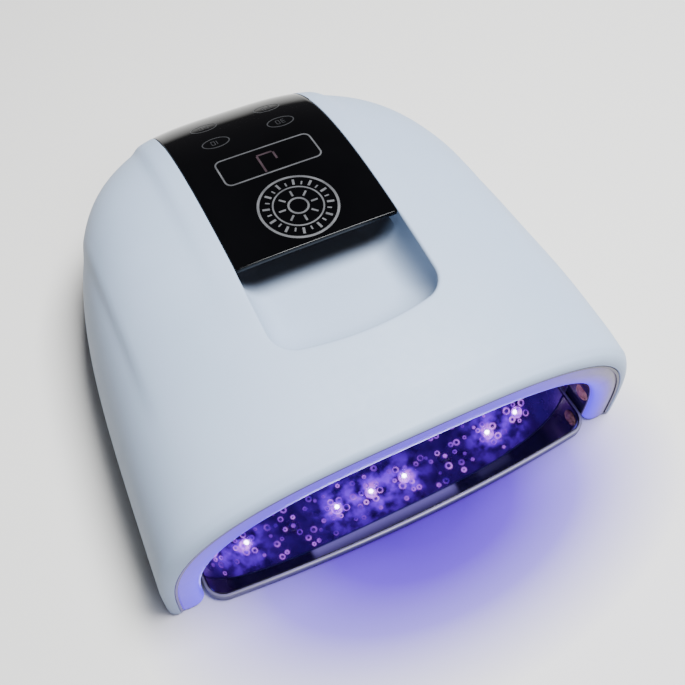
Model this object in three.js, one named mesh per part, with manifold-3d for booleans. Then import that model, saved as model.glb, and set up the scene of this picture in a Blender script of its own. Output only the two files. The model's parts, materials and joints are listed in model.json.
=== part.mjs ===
// Desktop UV LED nail lamp: a domed housing with a wide hand opening at the front, a grip recess and a
// touch panel on top, a mirrored tray below and the electronics between the housing and the reflector.
// Millimetres, +Z up. The hand opening faces -Y. The origin is the middle of the footprint, on the table.
import * as THREE from "three";
import { mergeVertices } from "three/addons/utils/BufferGeometryUtils.js";
import Module from "manifold-3d";

const wasm = await Module();
wasm.setup();

// ---------------------------------------------------------------- driving dimensions
// Housing: superellipse arches along Y, which close to a rounded back.
const HALF_WIDTH = 115;
const BODY_FRONT_Y = -114.2;
const BODY_LENGTH = 237.3;
const BODY_POWER = 3.62; // squareness of the arch
const PLAN_TAPER = 0.103; // share of the width lost towards the back
const PLAN_POWER = 4.288; // roundness of the back, seen from above
const SIDE_POWER = 6.63; // roundness of the back, seen from the side
const CROWN = [79.24, 46.55, -41.45]; // height of the arch along the body, as a quadratic
const BACK_SHARE = 0.9995; // the loft ends in a small flat here
const WALL = 2.6;
const BASE_Z = 2; // lower edge of the casing, above the feet
const GAP = 0.3;

// Front lip: a sloping band across the crown, then a rounded edge down to the parting line.
const LIP_Y = -115.2;
const LIP_HALF_WIDTH = 110.4;
const LIP_HEIGHT = 73.8;
const LIP_POWER = 3.26;
const BAND_BACK_Y = -99.6;
const BAND_FRONT_Y = -112.4;
const BAND_FRONT_Z = 77.8;
const SIDE_ROUND_Y = -110.4;

// Front ring and the hand opening inside it.
const OPENING_HALF_WIDTH = 98.4;
const OPENING_HEIGHT = 60.2;
const OPENING_POWER = 3.17;
const RING_FRONT_Y = -115;
const RING_BACK_Y = -111;
const TUNNEL_BACK_Y = -97;
const TUNNEL_WALL = 1.5;

// Reflector dome.
const DOME_FRONT_Y = -96;
const DOME_LENGTH = 176;
const DOME_PLAN_POWER = 8;
const DOME_SIDE_POWER = 9;
const DOME_WALL = 1.2;
const DOME_FOOT_Z = 4.8;

// Slot on the crown, shared by the touch panel and the grip recess in front of it.
const SLOT_HALF_WIDTH = 38.2;
const PANEL_FRONT_Y = -23;
const PANEL_BACK_Y = 98;
const PANEL_THICKNESS = 2.4;
const SEAT_THICKNESS = 1.8;
const SEAT_FRONT_Y = -21;
const RECESS_FRONT_Y = -69.8;
const RECESS_BACK_Y = -4;
const RECESS_CORNER = 12;
const RECESS_BOW = 2.5; // how far the front edge bows forward of its corners
const RECESS_FLOOR_Z = 69;
const RECESS_RIM_Z = 84.4;
const RECESS_BOWL = 13; // how far the walls curve in at the floor
const RECESS_WALL = 2.2;
const CORNER_STEPS = 5;
const DISPLAY_WINDOW = { halfWidth: 24.5, frontY: 20, backY: 41 };

// Tray.
const TRAY_FRONT_Y = -123;
const TRAY_BOW = 5.5; // how far the front edge curves back at 100 mm from the middle
const TRAY_SIDE_GAP = 1;
const TRAY_CORNER = 10;
const TRAY_BOTTOM_Z = 0.6;
const TRAY_FLOOR_Z = 3;
const TRAY_RIM_Z = 4.4;
const TRAY_RIM = 1.6;
const MIRROR_THICKNESS = 0.8;

// Magnets that hold the closed tray: a pair in its back edge and a pair in the base frame behind it.
const MAGNET_X = 30;
const MAGNET_HALF = 5;
const TRAY_MAGNET_Y = [71, 74];
const FRAME_MAGNET_Y = [83.5, 86.5];

// Hand sensors, one in each side wall of the opening.
const SENSOR_Y = -106;
const SENSOR_Z = 16.5;
const SENSOR_RADIUS = 4.2;
const SENSOR_LENGTH = 6.2;
const SENSOR_BACK_X = OPENING_HALF_WIDTH + 5;

// LEDs: rows across the dome, on a flat board over the crown and a tilted board on each shoulder.
const LED_ROWS_Y = [-81.5, -38, 6];
const CROWN_LEDS_X = [-45, -20, 0, 20, 45];
const LED_RADIUS = 2.9;
const LED_HOLE_RADIUS = 3.5;
const LED_PROUD = 1.8;
const BOARD_THICKNESS = 1.2;
const CROWN_BOARD_Z = 62;
const SHOULDER_X = 79;
const SHOULDER_TILT = THREE.MathUtils.degToRad(31.3);
const SHOULDER_GAP = 0.6;
const SHOULDER_LED_OFFSET = 9.5;
const SHOULDER_LED_LENGTH = 5;
const BOARD_FRONT_Y = -92;
const BOARD_BACK_Y = 18;
const CROWN_BOARD_HALF = 49;
const SHOULDER_BOARD_WIDTH = 30;

// Electronics, rear port and fasteners.
const CELL_RADIUS = 9.2;
const CELL_LENGTH = 65;
const CELLS = [
  { x: 50.5, frontY: -19, z: 72.6 },
  { x: 70, frontY: -45, z: 68.8 },
];
const DISPLAY_PLACE = [0, 30.5, 84];
const DISPLAY_TILT = THREE.MathUtils.degToRad(-5);
const TOUCH_BOARD_SIZE = [60, 28, BOARD_THICKNESS];
const TOUCH_BOARD_PLACE = [0, 63, 74.5];
const TOUCH_BOARD_TILT = THREE.MathUtils.degToRad(-18.4);
const MAIN_BOARD_Y = 87;
const PORT_FLOOR_Y = 117.6;
const PORT_Z = 20;
const PORT_HALF_WIDTH = 30;
const PORT_HALF_HEIGHT = 8.2;
const JACK_X = -16;
const SWITCH_X = 16;
const SWITCH_PIVOT_Y = PORT_FLOOR_Y + 0.8;
const ROCKER_REST = THREE.MathUtils.degToRad(-8);
const FOOT_RADIUS = 5;
const FEET = [
  [106, -88],
  [62, 84],
];
const SCREWS = [
  [105.6, -55],
  [45, 100],
];

const ARCH_STEPS = 28;
const ROUND_SIDES = 16;
const BIG = 400;

// ---------------------------------------------------------------- materials
const finish = (color, roughness, metalness = 0, extra = {}) =>
  new THREE.MeshStandardMaterial({ color, roughness, metalness, ...extra });
const softWhite = finish(0xdfe3ee, 0.55);
const ringWhite = finish(0xd9d8f2, 0.4);
const baseGrey = finish(0xc9ccd6, 0.6);
const reflectorSilver = finish(0xb9bacb, 0.15, 0.9);
const blackGloss = finish(0x08080a, 0.08);
const blackPlastic = finish(0x151518, 0.5);
const mirror = finish(0xd8dae0, 0.03, 1);
const lensViolet = finish(0xc9b6ff, 0.1, 0, { emissive: 0x5a2bff, emissiveIntensity: 2 });
const boardWhite = finish(0xe8eae6, 0.6);
const boardGreen = finish(0x14532f, 0.5);
const cellBlue = finish(0x2a62b8, 0.45);
const steel = finish(0xb9bcc0, 0.3, 0.9);
const rubberGrey = finish(0x3a3a3e, 0.9);
const amberLens = finish(0xa9683a, 0.2);
const displayGrey = finish(0x24242a, 0.3);

// ---------------------------------------------------------------- solids
function solidFromGeometry(geometry) {
  const bare = geometry.index ? geometry.toNonIndexed() : geometry.clone();
  bare.deleteAttribute("normal");
  bare.deleteAttribute("uv");
  const merged = mergeVertices(bare, 1e-4);
  const vertProperties = merged.attributes.position.array;
  const triVerts = new Uint32Array(merged.index.array);
  return new wasm.Manifold(new wasm.Mesh({ numProp: 3, vertProperties, triVerts }));
}

function geometryFromSolid(solid) {
  const { vertProperties, triVerts } = solid.getMesh();
  const geometry = new THREE.BufferGeometry();
  geometry.setAttribute("position", new THREE.BufferAttribute(vertProperties, 3));
  geometry.setIndex(new THREE.BufferAttribute(triVerts, 1));
  geometry.computeVertexNormals();
  return geometry;
}

// A closed skin over rings with equal point counts, with a fan over each end.
function loft(rings) {
  const count = rings[0].length;
  const positions = rings.flat().flatMap((point) => point.toArray());
  const faces = [];
  for (let row = 0; row + 1 < rings.length; row++) {
    for (let column = 0; column < count; column++) {
      const a = row * count + column;
      const b = row * count + ((column + 1) % count);
      faces.push(a, b, a + count, b, b + count, a + count);
    }
  }
  const ends = [rings[0], rings[rings.length - 1]];
  ends.forEach((ring, end) => {
    const middle = new THREE.Vector3();
    ring.forEach((point) => middle.addScaledVector(point, 1 / count));
    const hub = positions.length / 3;
    positions.push(...middle.toArray());
    const first = end * (rings.length - 1) * count;
    for (let column = 0; column < count; column++) {
      const a = first + column;
      const b = first + ((column + 1) % count);
      faces.push(...(end ? [a, b, hub] : [b, a, hub]));
    }
  });
  const geometry = new THREE.BufferGeometry();
  geometry.setAttribute("position", new THREE.Float32BufferAttribute(positions, 3));
  geometry.setIndex(signedVolume(positions, faces) < 0 ? faces.reverse() : faces);
  return solidFromGeometry(geometry);
}

function signedVolume(positions, faces) {
  const corner = (index) => new THREE.Vector3().fromArray(positions, index * 3);
  let sum = 0;
  for (let i = 0; i < faces.length; i += 3) {
    const [a, b, c] = [corner(faces[i]), corner(faces[i + 1]), corner(faces[i + 2])];
    sum += a.dot(b.cross(c)) / 6;
  }
  return sum;
}

function box(low, high) {
  const size = high.map((value, axis) => value - low[axis]);
  const geometry = new THREE.BoxGeometry(...size);
  geometry.translate(...low.map((value, axis) => value + size[axis] / 2));
  return solidFromGeometry(geometry);
}

// A round bar between two points.
function rod(from, to, radius, sides = ROUND_SIDES) {
  const start = new THREE.Vector3(...from);
  const along = new THREE.Vector3(...to).sub(start);
  const geometry = new THREE.CylinderGeometry(radius, radius, along.length(), sides);
  const turn = new THREE.Quaternion().setFromUnitVectors(
    new THREE.Vector3(0, 1, 0),
    along.clone().normalize(),
  );
  geometry.applyQuaternion(turn);
  geometry.translate(...start.addScaledVector(along, 0.5).toArray());
  return solidFromGeometry(geometry);
}

// A flat outline in XY, raised from one height to another.
function slab(shape, lowZ, highZ) {
  const options = { depth: highZ - lowZ, bevelEnabled: false, curveSegments: CORNER_STEPS };
  return solidFromGeometry(new THREE.ExtrudeGeometry(shape, options).translate(0, 0, lowZ));
}

// A rounded rectangle whose front edge bows forward.
function recessOutline(halfWidth, frontY, highY, corner) {
  const lowY = frontY + RECESS_BOW;
  const shape = new THREE.Shape();
  shape.moveTo(halfWidth, lowY + corner);
  shape.lineTo(halfWidth, highY - corner);
  shape.absarc(halfWidth - corner, highY - corner, corner, 0, Math.PI / 2);
  shape.lineTo(-halfWidth + corner, highY);
  shape.absarc(-halfWidth + corner, highY - corner, corner, Math.PI / 2, Math.PI);
  shape.lineTo(-halfWidth, lowY + corner);
  shape.absarc(-halfWidth + corner, lowY + corner, corner, Math.PI, 1.5 * Math.PI);
  shape.quadraticCurveTo(0, lowY - 2 * RECESS_BOW, halfWidth - corner, lowY);
  shape.absarc(halfWidth - corner, lowY + corner, corner, 1.5 * Math.PI, 2 * Math.PI);
  return shape;
}

// Each (x, y) place and its mirror image, left first.
const mirrored = (places) =>
  places.flatMap(([x, y]) => [
    [-x, y],
    [x, y],
  ]);

// ---------------------------------------------------------------- arches
// An arch in the plane y. It runs a little below z = 0, so that a cut gives its lower edge.
function archRing(halfWidth, height, power, y) {
  const ring = [];
  for (let step = 0; step <= ARCH_STEPS; step++) {
    const angle = (Math.PI * step) / ARCH_STEPS;
    const [c, s] = [Math.cos(angle), Math.sin(angle)];
    const radius = (Math.abs(c) ** power + Math.abs(s) ** power) ** (-1 / power);
    ring.push(new THREE.Vector3(halfWidth * radius * c, y, height * radius * s));
  }
  ring.push(new THREE.Vector3(-halfWidth, y, -5), new THREE.Vector3(halfWidth, y, -5));
  return ring;
}

const belowBase = (z) => box([-BIG, -BIG, -BIG], [BIG, BIG, z]);
const between = (lowY, highY, halfWidth = BIG) =>
  box([-halfWidth, lowY, -BIG], [halfWidth, highY, BIG]);

// Half width and height of the housing at a share t of its length, set in by some depth.
function bodySize(t, inset) {
  const crown = CROWN[0] + CROWN[1] * t + CROWN[2] * t * t;
  return {
    halfWidth: (HALF_WIDTH - inset) * (1 - PLAN_TAPER * t) * Math.sqrt(1 - t ** PLAN_POWER),
    height: (crown - inset) * Math.sqrt(1 - t ** SIDE_POWER),
  };
}

const BODY_SHARES = [0.062, 0.12, 0.2, 0.3, 0.4, 0.5, 0.6, 0.68, 0.75, 0.81, 0.86, 0.9, 0.935, 0.965, 0.985];

// The housing's form set in by some depth, without the front lip.
function bodyForm(inset, firstY = BODY_FRONT_Y) {
  const length = BODY_LENGTH - inset;
  const rings = [0, ...BODY_SHARES, BACK_SHARE].map((t) => {
    const { halfWidth, height } = bodySize(t, inset);
    const y = t === 0 ? firstY : BODY_FRONT_Y + t * length;
    return archRing(halfWidth, height, BODY_POWER, y);
  });
  return loft(rings);
}

// The housing's outer form, with the sloping band and the rounded lip.
function housingForm() {
  const shareAt = (y) => Math.max(0, (y - BODY_FRONT_Y) / BODY_LENGTH);
  const bandBackZ = bodySize(shareAt(BAND_BACK_Y), 0).height;
  const lipShares = [0, 0.12, 0.35, 0.65, 1];
  const round = (share) => Math.sqrt(1 - (1 - share) ** 2);
  const frontYs = lipShares.map((share) => LIP_Y + share * (BAND_FRONT_Y - LIP_Y));
  frontYs.push(SIDE_ROUND_Y, BAND_BACK_Y);
  const front = frontYs.map((y) => {
    const share = Math.min(1, (y - LIP_Y) / (BAND_FRONT_Y - LIP_Y));
    const sideShare = Math.min(1, (y - LIP_Y) / (SIDE_ROUND_Y - LIP_Y));
    const bandShare = Math.max(0, (y - BAND_FRONT_Y) / (BAND_BACK_Y - BAND_FRONT_Y));
    const edgeZ = LIP_HEIGHT + (BAND_FRONT_Z - LIP_HEIGHT) * round(share);
    const height = edgeZ + (bandBackZ - BAND_FRONT_Z) * bandShare;
    const fullWidth = bodySize(shareAt(y), 0).halfWidth;
    const halfWidth = LIP_HALF_WIDTH + (fullWidth - LIP_HALF_WIDTH) * round(sideShare);
    const power = LIP_POWER + (BODY_POWER - LIP_POWER) * sideShare;
    return archRing(halfWidth, height, power, y);
  });
  const rest = [...BODY_SHARES.slice(1), BACK_SHARE].map((t) => {
    const { halfWidth, height } = bodySize(t, 0);
    return archRing(halfWidth, height, BODY_POWER, BODY_FRONT_Y + t * BODY_LENGTH);
  });
  return loft([...front, ...rest]);
}

// An arch with the opening's squareness, offset outwards, between two depths.
function openingArch(offset, lowY, highY) {
  const size = [OPENING_HALF_WIDTH + offset, OPENING_HEIGHT + offset, OPENING_POWER];
  return loft([archRing(...size, lowY), archRing(...size, highY)]);
}

function domeForm(offset) {
  const shares = [0, 0.25, 0.45, 0.6, 0.72, 0.81, 0.88, 0.93, 0.965, 0.988, 0.999];
  const rings = shares.map((t) => {
    const halfWidth = (OPENING_HALF_WIDTH + offset) * Math.sqrt(1 - t ** DOME_PLAN_POWER);
    const height = (OPENING_HEIGHT + offset) * Math.sqrt(1 - t ** DOME_SIDE_POWER);
    const y = DOME_FRONT_Y + t * (DOME_LENGTH + offset);
    return archRing(halfWidth, height, OPENING_POWER, t === 0 ? DOME_FRONT_Y : y);
  });
  return loft(rings);
}

const domeHeight = (x) =>
  OPENING_HEIGHT * (1 - Math.abs(x / OPENING_HALF_WIDTH) ** OPENING_POWER) ** (1 / OPENING_POWER);

// ---------------------------------------------------------------- upper housing
// The recess as a bowl: rounded rectangles that shrink towards the floor, with an upright back wall.
function recessBowl(offset) {
  const levels = [0, 0.1, 0.3, 0.55, 0.8, 1];
  const depth = RECESS_RIM_Z - RECESS_FLOOR_Z;
  const rings = levels.map((level) => {
    const inset = RECESS_BOWL * (1 - Math.sqrt(1 - (1 - level) ** 2)) - offset;
    const z = RECESS_FLOOR_Z - offset + level * (depth + offset);
    const shape = recessOutline(
      SLOT_HALF_WIDTH - inset,
      RECESS_FRONT_Y + inset,
      RECESS_BACK_Y + offset,
      RECESS_CORNER,
    );
    const outline = shape.getPoints(CORNER_STEPS).slice(1);
    return outline.map((point) => new THREE.Vector3(point.x, point.y, z));
  });
  return loft(rings);
}

function recessMouth(offset, topZ) {
  const shape = recessOutline(
    SLOT_HALF_WIDTH + offset,
    RECESS_FRONT_Y - offset,
    SEAT_FRONT_Y + RECESS_CORNER,
    RECESS_CORNER,
  );
  const mouth = slab(shape, RECESS_RIM_Z - 0.2, topZ);
  return mouth.subtract(between(SEAT_FRONT_Y, BIG));
}

function upperHousing() {
  const outer = housingForm();
  const straightLip = loft([
    archRing(LIP_HALF_WIDTH, LIP_HEIGHT, LIP_POWER, LIP_Y - 1),
    archRing(LIP_HALF_WIDTH, LIP_HEIGHT, LIP_POWER, SIDE_ROUND_Y + 0.5),
  ]);
  const inner = bodyForm(WALL).subtract(between(-BIG, SIDE_ROUND_Y)).add(straightLip);
  let housing = outer.subtract(inner);

  // Seat under the touch panel, with a window for the display.
  const seatDepth = PANEL_THICKNESS + GAP;
  const underSeat = bodyForm(seatDepth);
  const seat = underSeat
    .subtract(bodyForm(seatDepth + SEAT_THICKNESS))
    .intersect(between(SEAT_FRONT_Y, PANEL_BACK_Y + 3, SLOT_HALF_WIDTH + 3));
  const tub = recessBowl(RECESS_WALL)
    .add(recessMouth(RECESS_WALL, CROWN[0] + 20))
    .intersect(bodyForm(1));
  housing = housing.add(seat).add(tub);
  const panelSlot = bodyForm(-20)
    .subtract(underSeat)
    .intersect(between(PANEL_FRONT_Y - 0.5, PANEL_BACK_Y + GAP, SLOT_HALF_WIDTH));
  const recess = recessBowl(0).add(recessMouth(0, BIG));
  const { halfWidth, frontY, backY } = DISPLAY_WINDOW;
  const window = box([-halfWidth, frontY, 70], [halfWidth, backY, BIG]);
  housing = housing.subtract(panelSlot).subtract(recess).subtract(window);

  // Screw bosses, each grown into the wall.
  for (const [x, y] of mirrored(SCREWS)) {
    const boss = rod([x, y, DOME_FOOT_Z], [x, y, y > 0 ? 60 : 18], 4.5, 12).intersect(bodyForm(1));
    housing = housing.add(boss).subtract(rod([x, y, 0], [x, y, 13], 1.8, 12));
  }

  // Rear port: a flat floor set into the rounded back, with holes for the jack and the switch.
  const portWall = box(
    [-PORT_HALF_WIDTH - 3, PORT_FLOOR_Y - 2.4, PORT_Z - PORT_HALF_HEIGHT - 3],
    [PORT_HALF_WIDTH + 3, BIG, PORT_Z + PORT_HALF_HEIGHT + 3],
  ).intersect(bodyForm(0.5));
  const portSpace = box(
    [-PORT_HALF_WIDTH, PORT_FLOOR_Y, PORT_Z - PORT_HALF_HEIGHT],
    [PORT_HALF_WIDTH, BIG, PORT_Z + PORT_HALF_HEIGHT],
  );
  const jackHole = rod([JACK_X, 100, PORT_Z], [JACK_X, 130, PORT_Z], 4.6);
  const switchHole = box([SWITCH_X - 6.9, 100, PORT_Z - 4.7], [SWITCH_X + 6.9, 130, PORT_Z + 4.7]);
  housing = housing.add(portWall).subtract(portSpace).subtract(jackHole).subtract(switchHole);
  return housing.subtract(belowBase(BASE_Z));
}

function touchPanel() {
  return bodyForm(0.05)
    .subtract(bodyForm(PANEL_THICKNESS))
    .intersect(between(PANEL_FRONT_Y, PANEL_BACK_Y, SLOT_HALF_WIDTH - GAP));
}

// ---------------------------------------------------------------- front ring, base and reflector
function frontRing() {
  const ringSize = [LIP_HALF_WIDTH - 0.4, LIP_HEIGHT - 0.4, LIP_POWER];
  const plate = loft([archRing(...ringSize, RING_FRONT_Y), archRing(...ringSize, RING_BACK_Y)]);
  const tunnel = openingArch(TUNNEL_WALL, RING_BACK_Y - 1, TUNNEL_BACK_Y);
  const opening = openingArch(0, RING_FRONT_Y - 5, TUNNEL_BACK_Y + 5);
  let ring = plate.add(tunnel).subtract(opening);
  for (const side of [-1, 1]) {
    const seat = [side * 90, SENSOR_Y, SENSOR_Z];
    ring = ring.subtract(rod(seat, [side * 106, SENSOR_Y, SENSOR_Z], SENSOR_RADIUS + GAP));
  }
  return ring.subtract(belowBase(BASE_Z));
}

// The box of a magnet, or of its pocket when it is grown by a margin.
function magnetBox(side, [frontY, backY], lowZ, highZ, margin = 0) {
  const half = MAGNET_HALF + margin;
  const low = [side * MAGNET_X - half, frontY - margin, lowZ - margin];
  return box(low, [side * MAGNET_X + half, backY + margin, highZ + margin]);
}

function baseFrame() {
  const depth = WALL + GAP;
  const floor = bodyForm(depth).intersect(box([-BIG, SIDE_ROUND_Y + 0.8, BASE_Z], [BIG, BIG, 4.4]));
  const domePlan = domeForm(DOME_WALL + 0.6).add(
    openingArch(TUNNEL_WALL + 0.6, RING_BACK_Y - 5, DOME_FRONT_Y + 1),
  );
  let frame = floor.subtract(domePlan);
  for (const [x, y] of mirrored(SCREWS)) {
    frame = frame.subtract(rod([x, y, 0], [x, y, 3.4], 3.2, 12));
    frame = frame.subtract(rod([x, y, 0], [x, y, 10], 1.8, 12));
  }
  for (const side of [-1, 1]) {
    frame = frame.subtract(magnetBox(side, FRAME_MAGNET_Y, 1, 4.1 - GAP, GAP));
  }
  return frame;
}

function reflectorDome() {
  let dome = domeForm(DOME_WALL).subtract(domeForm(0).add(between(-BIG, DOME_FRONT_Y)));
  for (const led of ledPlaces()) {
    const axis = new THREE.Vector3(0, 1, 0).applyQuaternion(led.turn);
    const start = led.base.clone().addScaledVector(axis, -2);
    const end = led.base.clone().addScaledVector(axis, led.length + 4);
    dome = dome.subtract(rod(start.toArray(), end.toArray(), LED_HOLE_RADIUS, 8));
  }
  return dome.subtract(belowBase(DOME_FOOT_Z));
}

// ---------------------------------------------------------------- LEDs
const DOWN = new THREE.Quaternion().setFromAxisAngle(new THREE.Vector3(1, 0, 0), -Math.PI / 2);

// Middle of a shoulder board's inner face, on one side.
function shoulderMiddle(side) {
  const out = DOME_WALL + SHOULDER_GAP;
  const x = SHOULDER_X + out * Math.sin(SHOULDER_TILT);
  const z = domeHeight(SHOULDER_X) + out * Math.cos(SHOULDER_TILT);
  return new THREE.Vector3(side * x, 0, z);
}

// Base, direction and length of every LED, row by row.
function ledPlaces() {
  const places = [];
  LED_ROWS_Y.forEach((y, row) => {
    for (const x of CROWN_LEDS_X) {
      const length = CROWN_BOARD_Z - 0.1 - domeHeight(x) + LED_PROUD;
      places.push({ base: new THREE.Vector3(x, y, CROWN_BOARD_Z - 0.1), turn: DOWN, length });
    }
    const offsets = row < 2 ? [-SHOULDER_LED_OFFSET, SHOULDER_LED_OFFSET] : [-SHOULDER_LED_OFFSET];
    for (const side of [-1, 1]) {
      const inward = new THREE.Vector3(-side * Math.sin(SHOULDER_TILT), 0, -Math.cos(SHOULDER_TILT));
      const along = new THREE.Vector3(side * Math.cos(SHOULDER_TILT), 0, -Math.sin(SHOULDER_TILT));
      const turn = new THREE.Quaternion().setFromUnitVectors(new THREE.Vector3(0, 1, 0), inward);
      for (const offset of offsets) {
        const base = shoulderMiddle(side).setY(y).addScaledVector(along, offset);
        base.addScaledVector(inward, 0.1);
        places.push({ base, turn, length: SHOULDER_LED_LENGTH });
      }
    }
  });
  return places;
}

function ledGeometry(length) {
  const profile = [
    [0, 0],
    [LED_RADIUS, 0],
    [LED_RADIUS, length - 1.7],
    [0.75 * LED_RADIUS, length - 0.6],
    [0.4 * LED_RADIUS, length - 0.12],
    [0, length],
  ].map(([r, y]) => new THREE.Vector2(r, y));
  return new THREE.LatheGeometry(profile, 8);
}

function crownBoard() {
  const low = [-CROWN_BOARD_HALF, BOARD_FRONT_Y, CROWN_BOARD_Z];
  return box(low, [CROWN_BOARD_HALF, BOARD_BACK_Y, CROWN_BOARD_Z + BOARD_THICKNESS]);
}

function shoulderBoardMesh(side) {
  const length = BOARD_BACK_Y - BOARD_FRONT_Y;
  const geometry = new THREE.BoxGeometry(SHOULDER_BOARD_WIDTH, length, BOARD_THICKNESS);
  const mesh = part(side < 0 ? "led_board_left" : "led_board_right", geometry, boardWhite);
  const outward = new THREE.Vector3(side * Math.sin(SHOULDER_TILT), 0, Math.cos(SHOULDER_TILT));
  mesh.position.copy(shoulderMiddle(side)).addScaledVector(outward, BOARD_THICKNESS / 2);
  mesh.position.y = (BOARD_FRONT_Y + BOARD_BACK_Y) / 2;
  mesh.rotation.y = side * SHOULDER_TILT;
  return mesh;
}

// ---------------------------------------------------------------- hand sensors
function sensorGeometry() {
  const profile = [
    [0, 0],
    [SENSOR_RADIUS, 0],
    [SENSOR_RADIUS, SENSOR_LENGTH - 1],
    [0.6 * SENSOR_RADIUS, SENSOR_LENGTH - 0.2],
    [0, SENSOR_LENGTH],
  ].map(([r, y]) => new THREE.Vector2(r, y));
  return new THREE.LatheGeometry(profile, ROUND_SIDES);
}

function sensorMesh(name, side) {
  const mesh = part(name, sensorGeometry(), amberLens);
  mesh.position.set(side * SENSOR_BACK_X, SENSOR_Y, SENSOR_Z);
  mesh.rotation.z = (side * Math.PI) / 2;
  return mesh;
}

// ---------------------------------------------------------------- tray
// Plan of the tray, set in by some margin: a bowed front, rounded corners and a back like the dome's.
function trayOutline(margin) {
  const half = OPENING_HALF_WIDTH - TRAY_SIDE_GAP - margin;
  const corner = TRAY_CORNER - margin;
  const frontAt = (x) => TRAY_FRONT_Y + margin + TRAY_BOW * (x / 100) ** 2;
  const shape = new THREE.Shape();
  const cornerX = half - corner;
  const steps = 8;
  shape.moveTo(-cornerX, frontAt(cornerX));
  for (let step = 1; step <= steps; step++) {
    const x = -cornerX + (2 * cornerX * step) / steps;
    shape.lineTo(x, frontAt(x));
  }
  shape.absarc(cornerX, frontAt(cornerX) + corner, corner, -Math.PI / 2, 0);
  const backShares = [0.45, 0.6, 0.72, 0.81, 0.88, 0.93, 0.965, 0.985];
  const backHalf = (t) => half * Math.sqrt(1 - t ** DOME_PLAN_POWER);
  const backY = (t) => DOME_FRONT_Y + t * (DOME_LENGTH - TRAY_SIDE_GAP - margin);
  backShares.forEach((t) => shape.lineTo(backHalf(t), backY(t)));
  [...backShares].reverse().forEach((t) => shape.lineTo(-backHalf(t), backY(t)));
  shape.absarc(-cornerX, frontAt(cornerX) + corner, corner, Math.PI, 1.5 * Math.PI);
  return shape;
}

function trayBase() {
  const space = slab(trayOutline(TRAY_RIM), TRAY_FLOOR_Z, 10);
  let tray = slab(trayOutline(0), TRAY_BOTTOM_Z, TRAY_RIM_Z).subtract(space);
  for (const side of [-1, 1]) {
    tray = tray.subtract(magnetBox(side, TRAY_MAGNET_Y, 0, 2.5 - GAP, GAP));
  }
  return tray;
}

function trayMirror() {
  const low = TRAY_FLOOR_Z + 0.1;
  return slab(trayOutline(TRAY_RIM + GAP), low, low + MIRROR_THICKNESS);
}

// ---------------------------------------------------------------- electronics and rear port
function displayModule() {
  const body = box([-25, -11, -6], [25, 11, 0]);
  const face = box([-23, -9, 0], [23, 9, 1.5]);
  return body.add(face);
}

function mainBoard() {
  const y = MAIN_BOARD_Y;
  let board = box([-45, y, 8], [45, y + 1.6, 46]);
  for (const [x, z, radius, height] of [
    [-30, 34, 5, 12],
    [-17, 34, 5, 12],
    [30, 32, 7, 9],
  ]) {
    board = board.add(rod([x, y + 1, z], [x, y + 1.6 + height, z], radius, 12));
  }
  return board.add(box([-6, y + 1, 30], [8, y + 5, 42])).add(box([-42, y + 1, 12], [-32, y + 8, 18]));
}

function dcJack() {
  const body = box([JACK_X - 4.6, 103, PORT_Z - 5.5], [JACK_X + 4.6, 114.6, PORT_Z + 5.5]);
  const nose = rod([JACK_X, 110, PORT_Z], [JACK_X, PORT_FLOOR_Y + 0.8, PORT_Z], 4.2);
  const bore = rod([JACK_X, 108, PORT_Z], [JACK_X, 130, PORT_Z], 3.1);
  const pin = rod([JACK_X, 106, PORT_Z], [JACK_X, PORT_FLOOR_Y - 0.6, PORT_Z], 1, 8);
  return body.add(nose).subtract(bore).add(pin);
}

function switchBody() {
  const bezelFront = PORT_FLOOR_Y + 1.6;
  const [x, z] = [SWITCH_X, PORT_Z];
  const bezel = box([x - 7.6, PORT_FLOOR_Y + 0.1, z - 5.4], [x + 7.6, bezelFront, z + 5.4]);
  const body = box([x - 6.6, 104, z - 4.4], [x + 6.6, PORT_FLOOR_Y + 0.5, z + 4.4]);
  const well = box([x - 6, SWITCH_PIVOT_Y - 4.5, z - 3.9], [x + 6, 130, z + 3.9]);
  const tabs = [-3.5, 3.5].map((dx) => box([x + dx - 0.4, 98, z - 2], [x + dx + 0.4, 105, z + 2]));
  return tabs.reduce((all, tab) => all.add(tab), bezel.add(body)).subtract(well);
}

function rockerMesh() {
  const shape = new THREE.Shape();
  shape.moveTo(-5.4, -1.8);
  shape.lineTo(0, -3.2);
  shape.lineTo(5.4, -1.8);
  shape.lineTo(5.4, 2.4);
  shape.quadraticCurveTo(0, 0.6, -5.4, 2.4);
  const height = 7.2;
  const options = { depth: height, bevelEnabled: false, curveSegments: 8 };
  const geometry = new THREE.ExtrudeGeometry(shape, options).translate(0, 0, -height / 2);
  const mesh = part("switch_rocker", geometry, blackGloss);
  mesh.position.set(SWITCH_X, SWITCH_PIVOT_Y, PORT_Z);
  mesh.rotation.z = ROCKER_REST;
  return mesh;
}

// ---------------------------------------------------------------- small pieces
function foot() {
  return rod([0, 0, 0], [0, 0, BASE_Z - 0.1], FOOT_RADIUS);
}

function screw() {
  return rod([0, 0, 2.2], [0, 0, 3.3], 2.9, 12).add(rod([0, 0, 3], [0, 0, 12], 1.5, 10));
}

function part(name, shape, material) {
  const geometry = shape.isBufferGeometry ? shape : geometryFromSolid(shape);
  const mesh = new THREE.Mesh(geometry, material);
  mesh.name = name;
  return mesh;
}

// ---------------------------------------------------------------- assembly
const group = new THREE.Group();
const casing = new THREE.Group();
const chamber = new THREE.Group();
const tray = new THREE.Group();
const electronics = new THREE.Group();
group.add(casing, chamber, tray, electronics);

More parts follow.
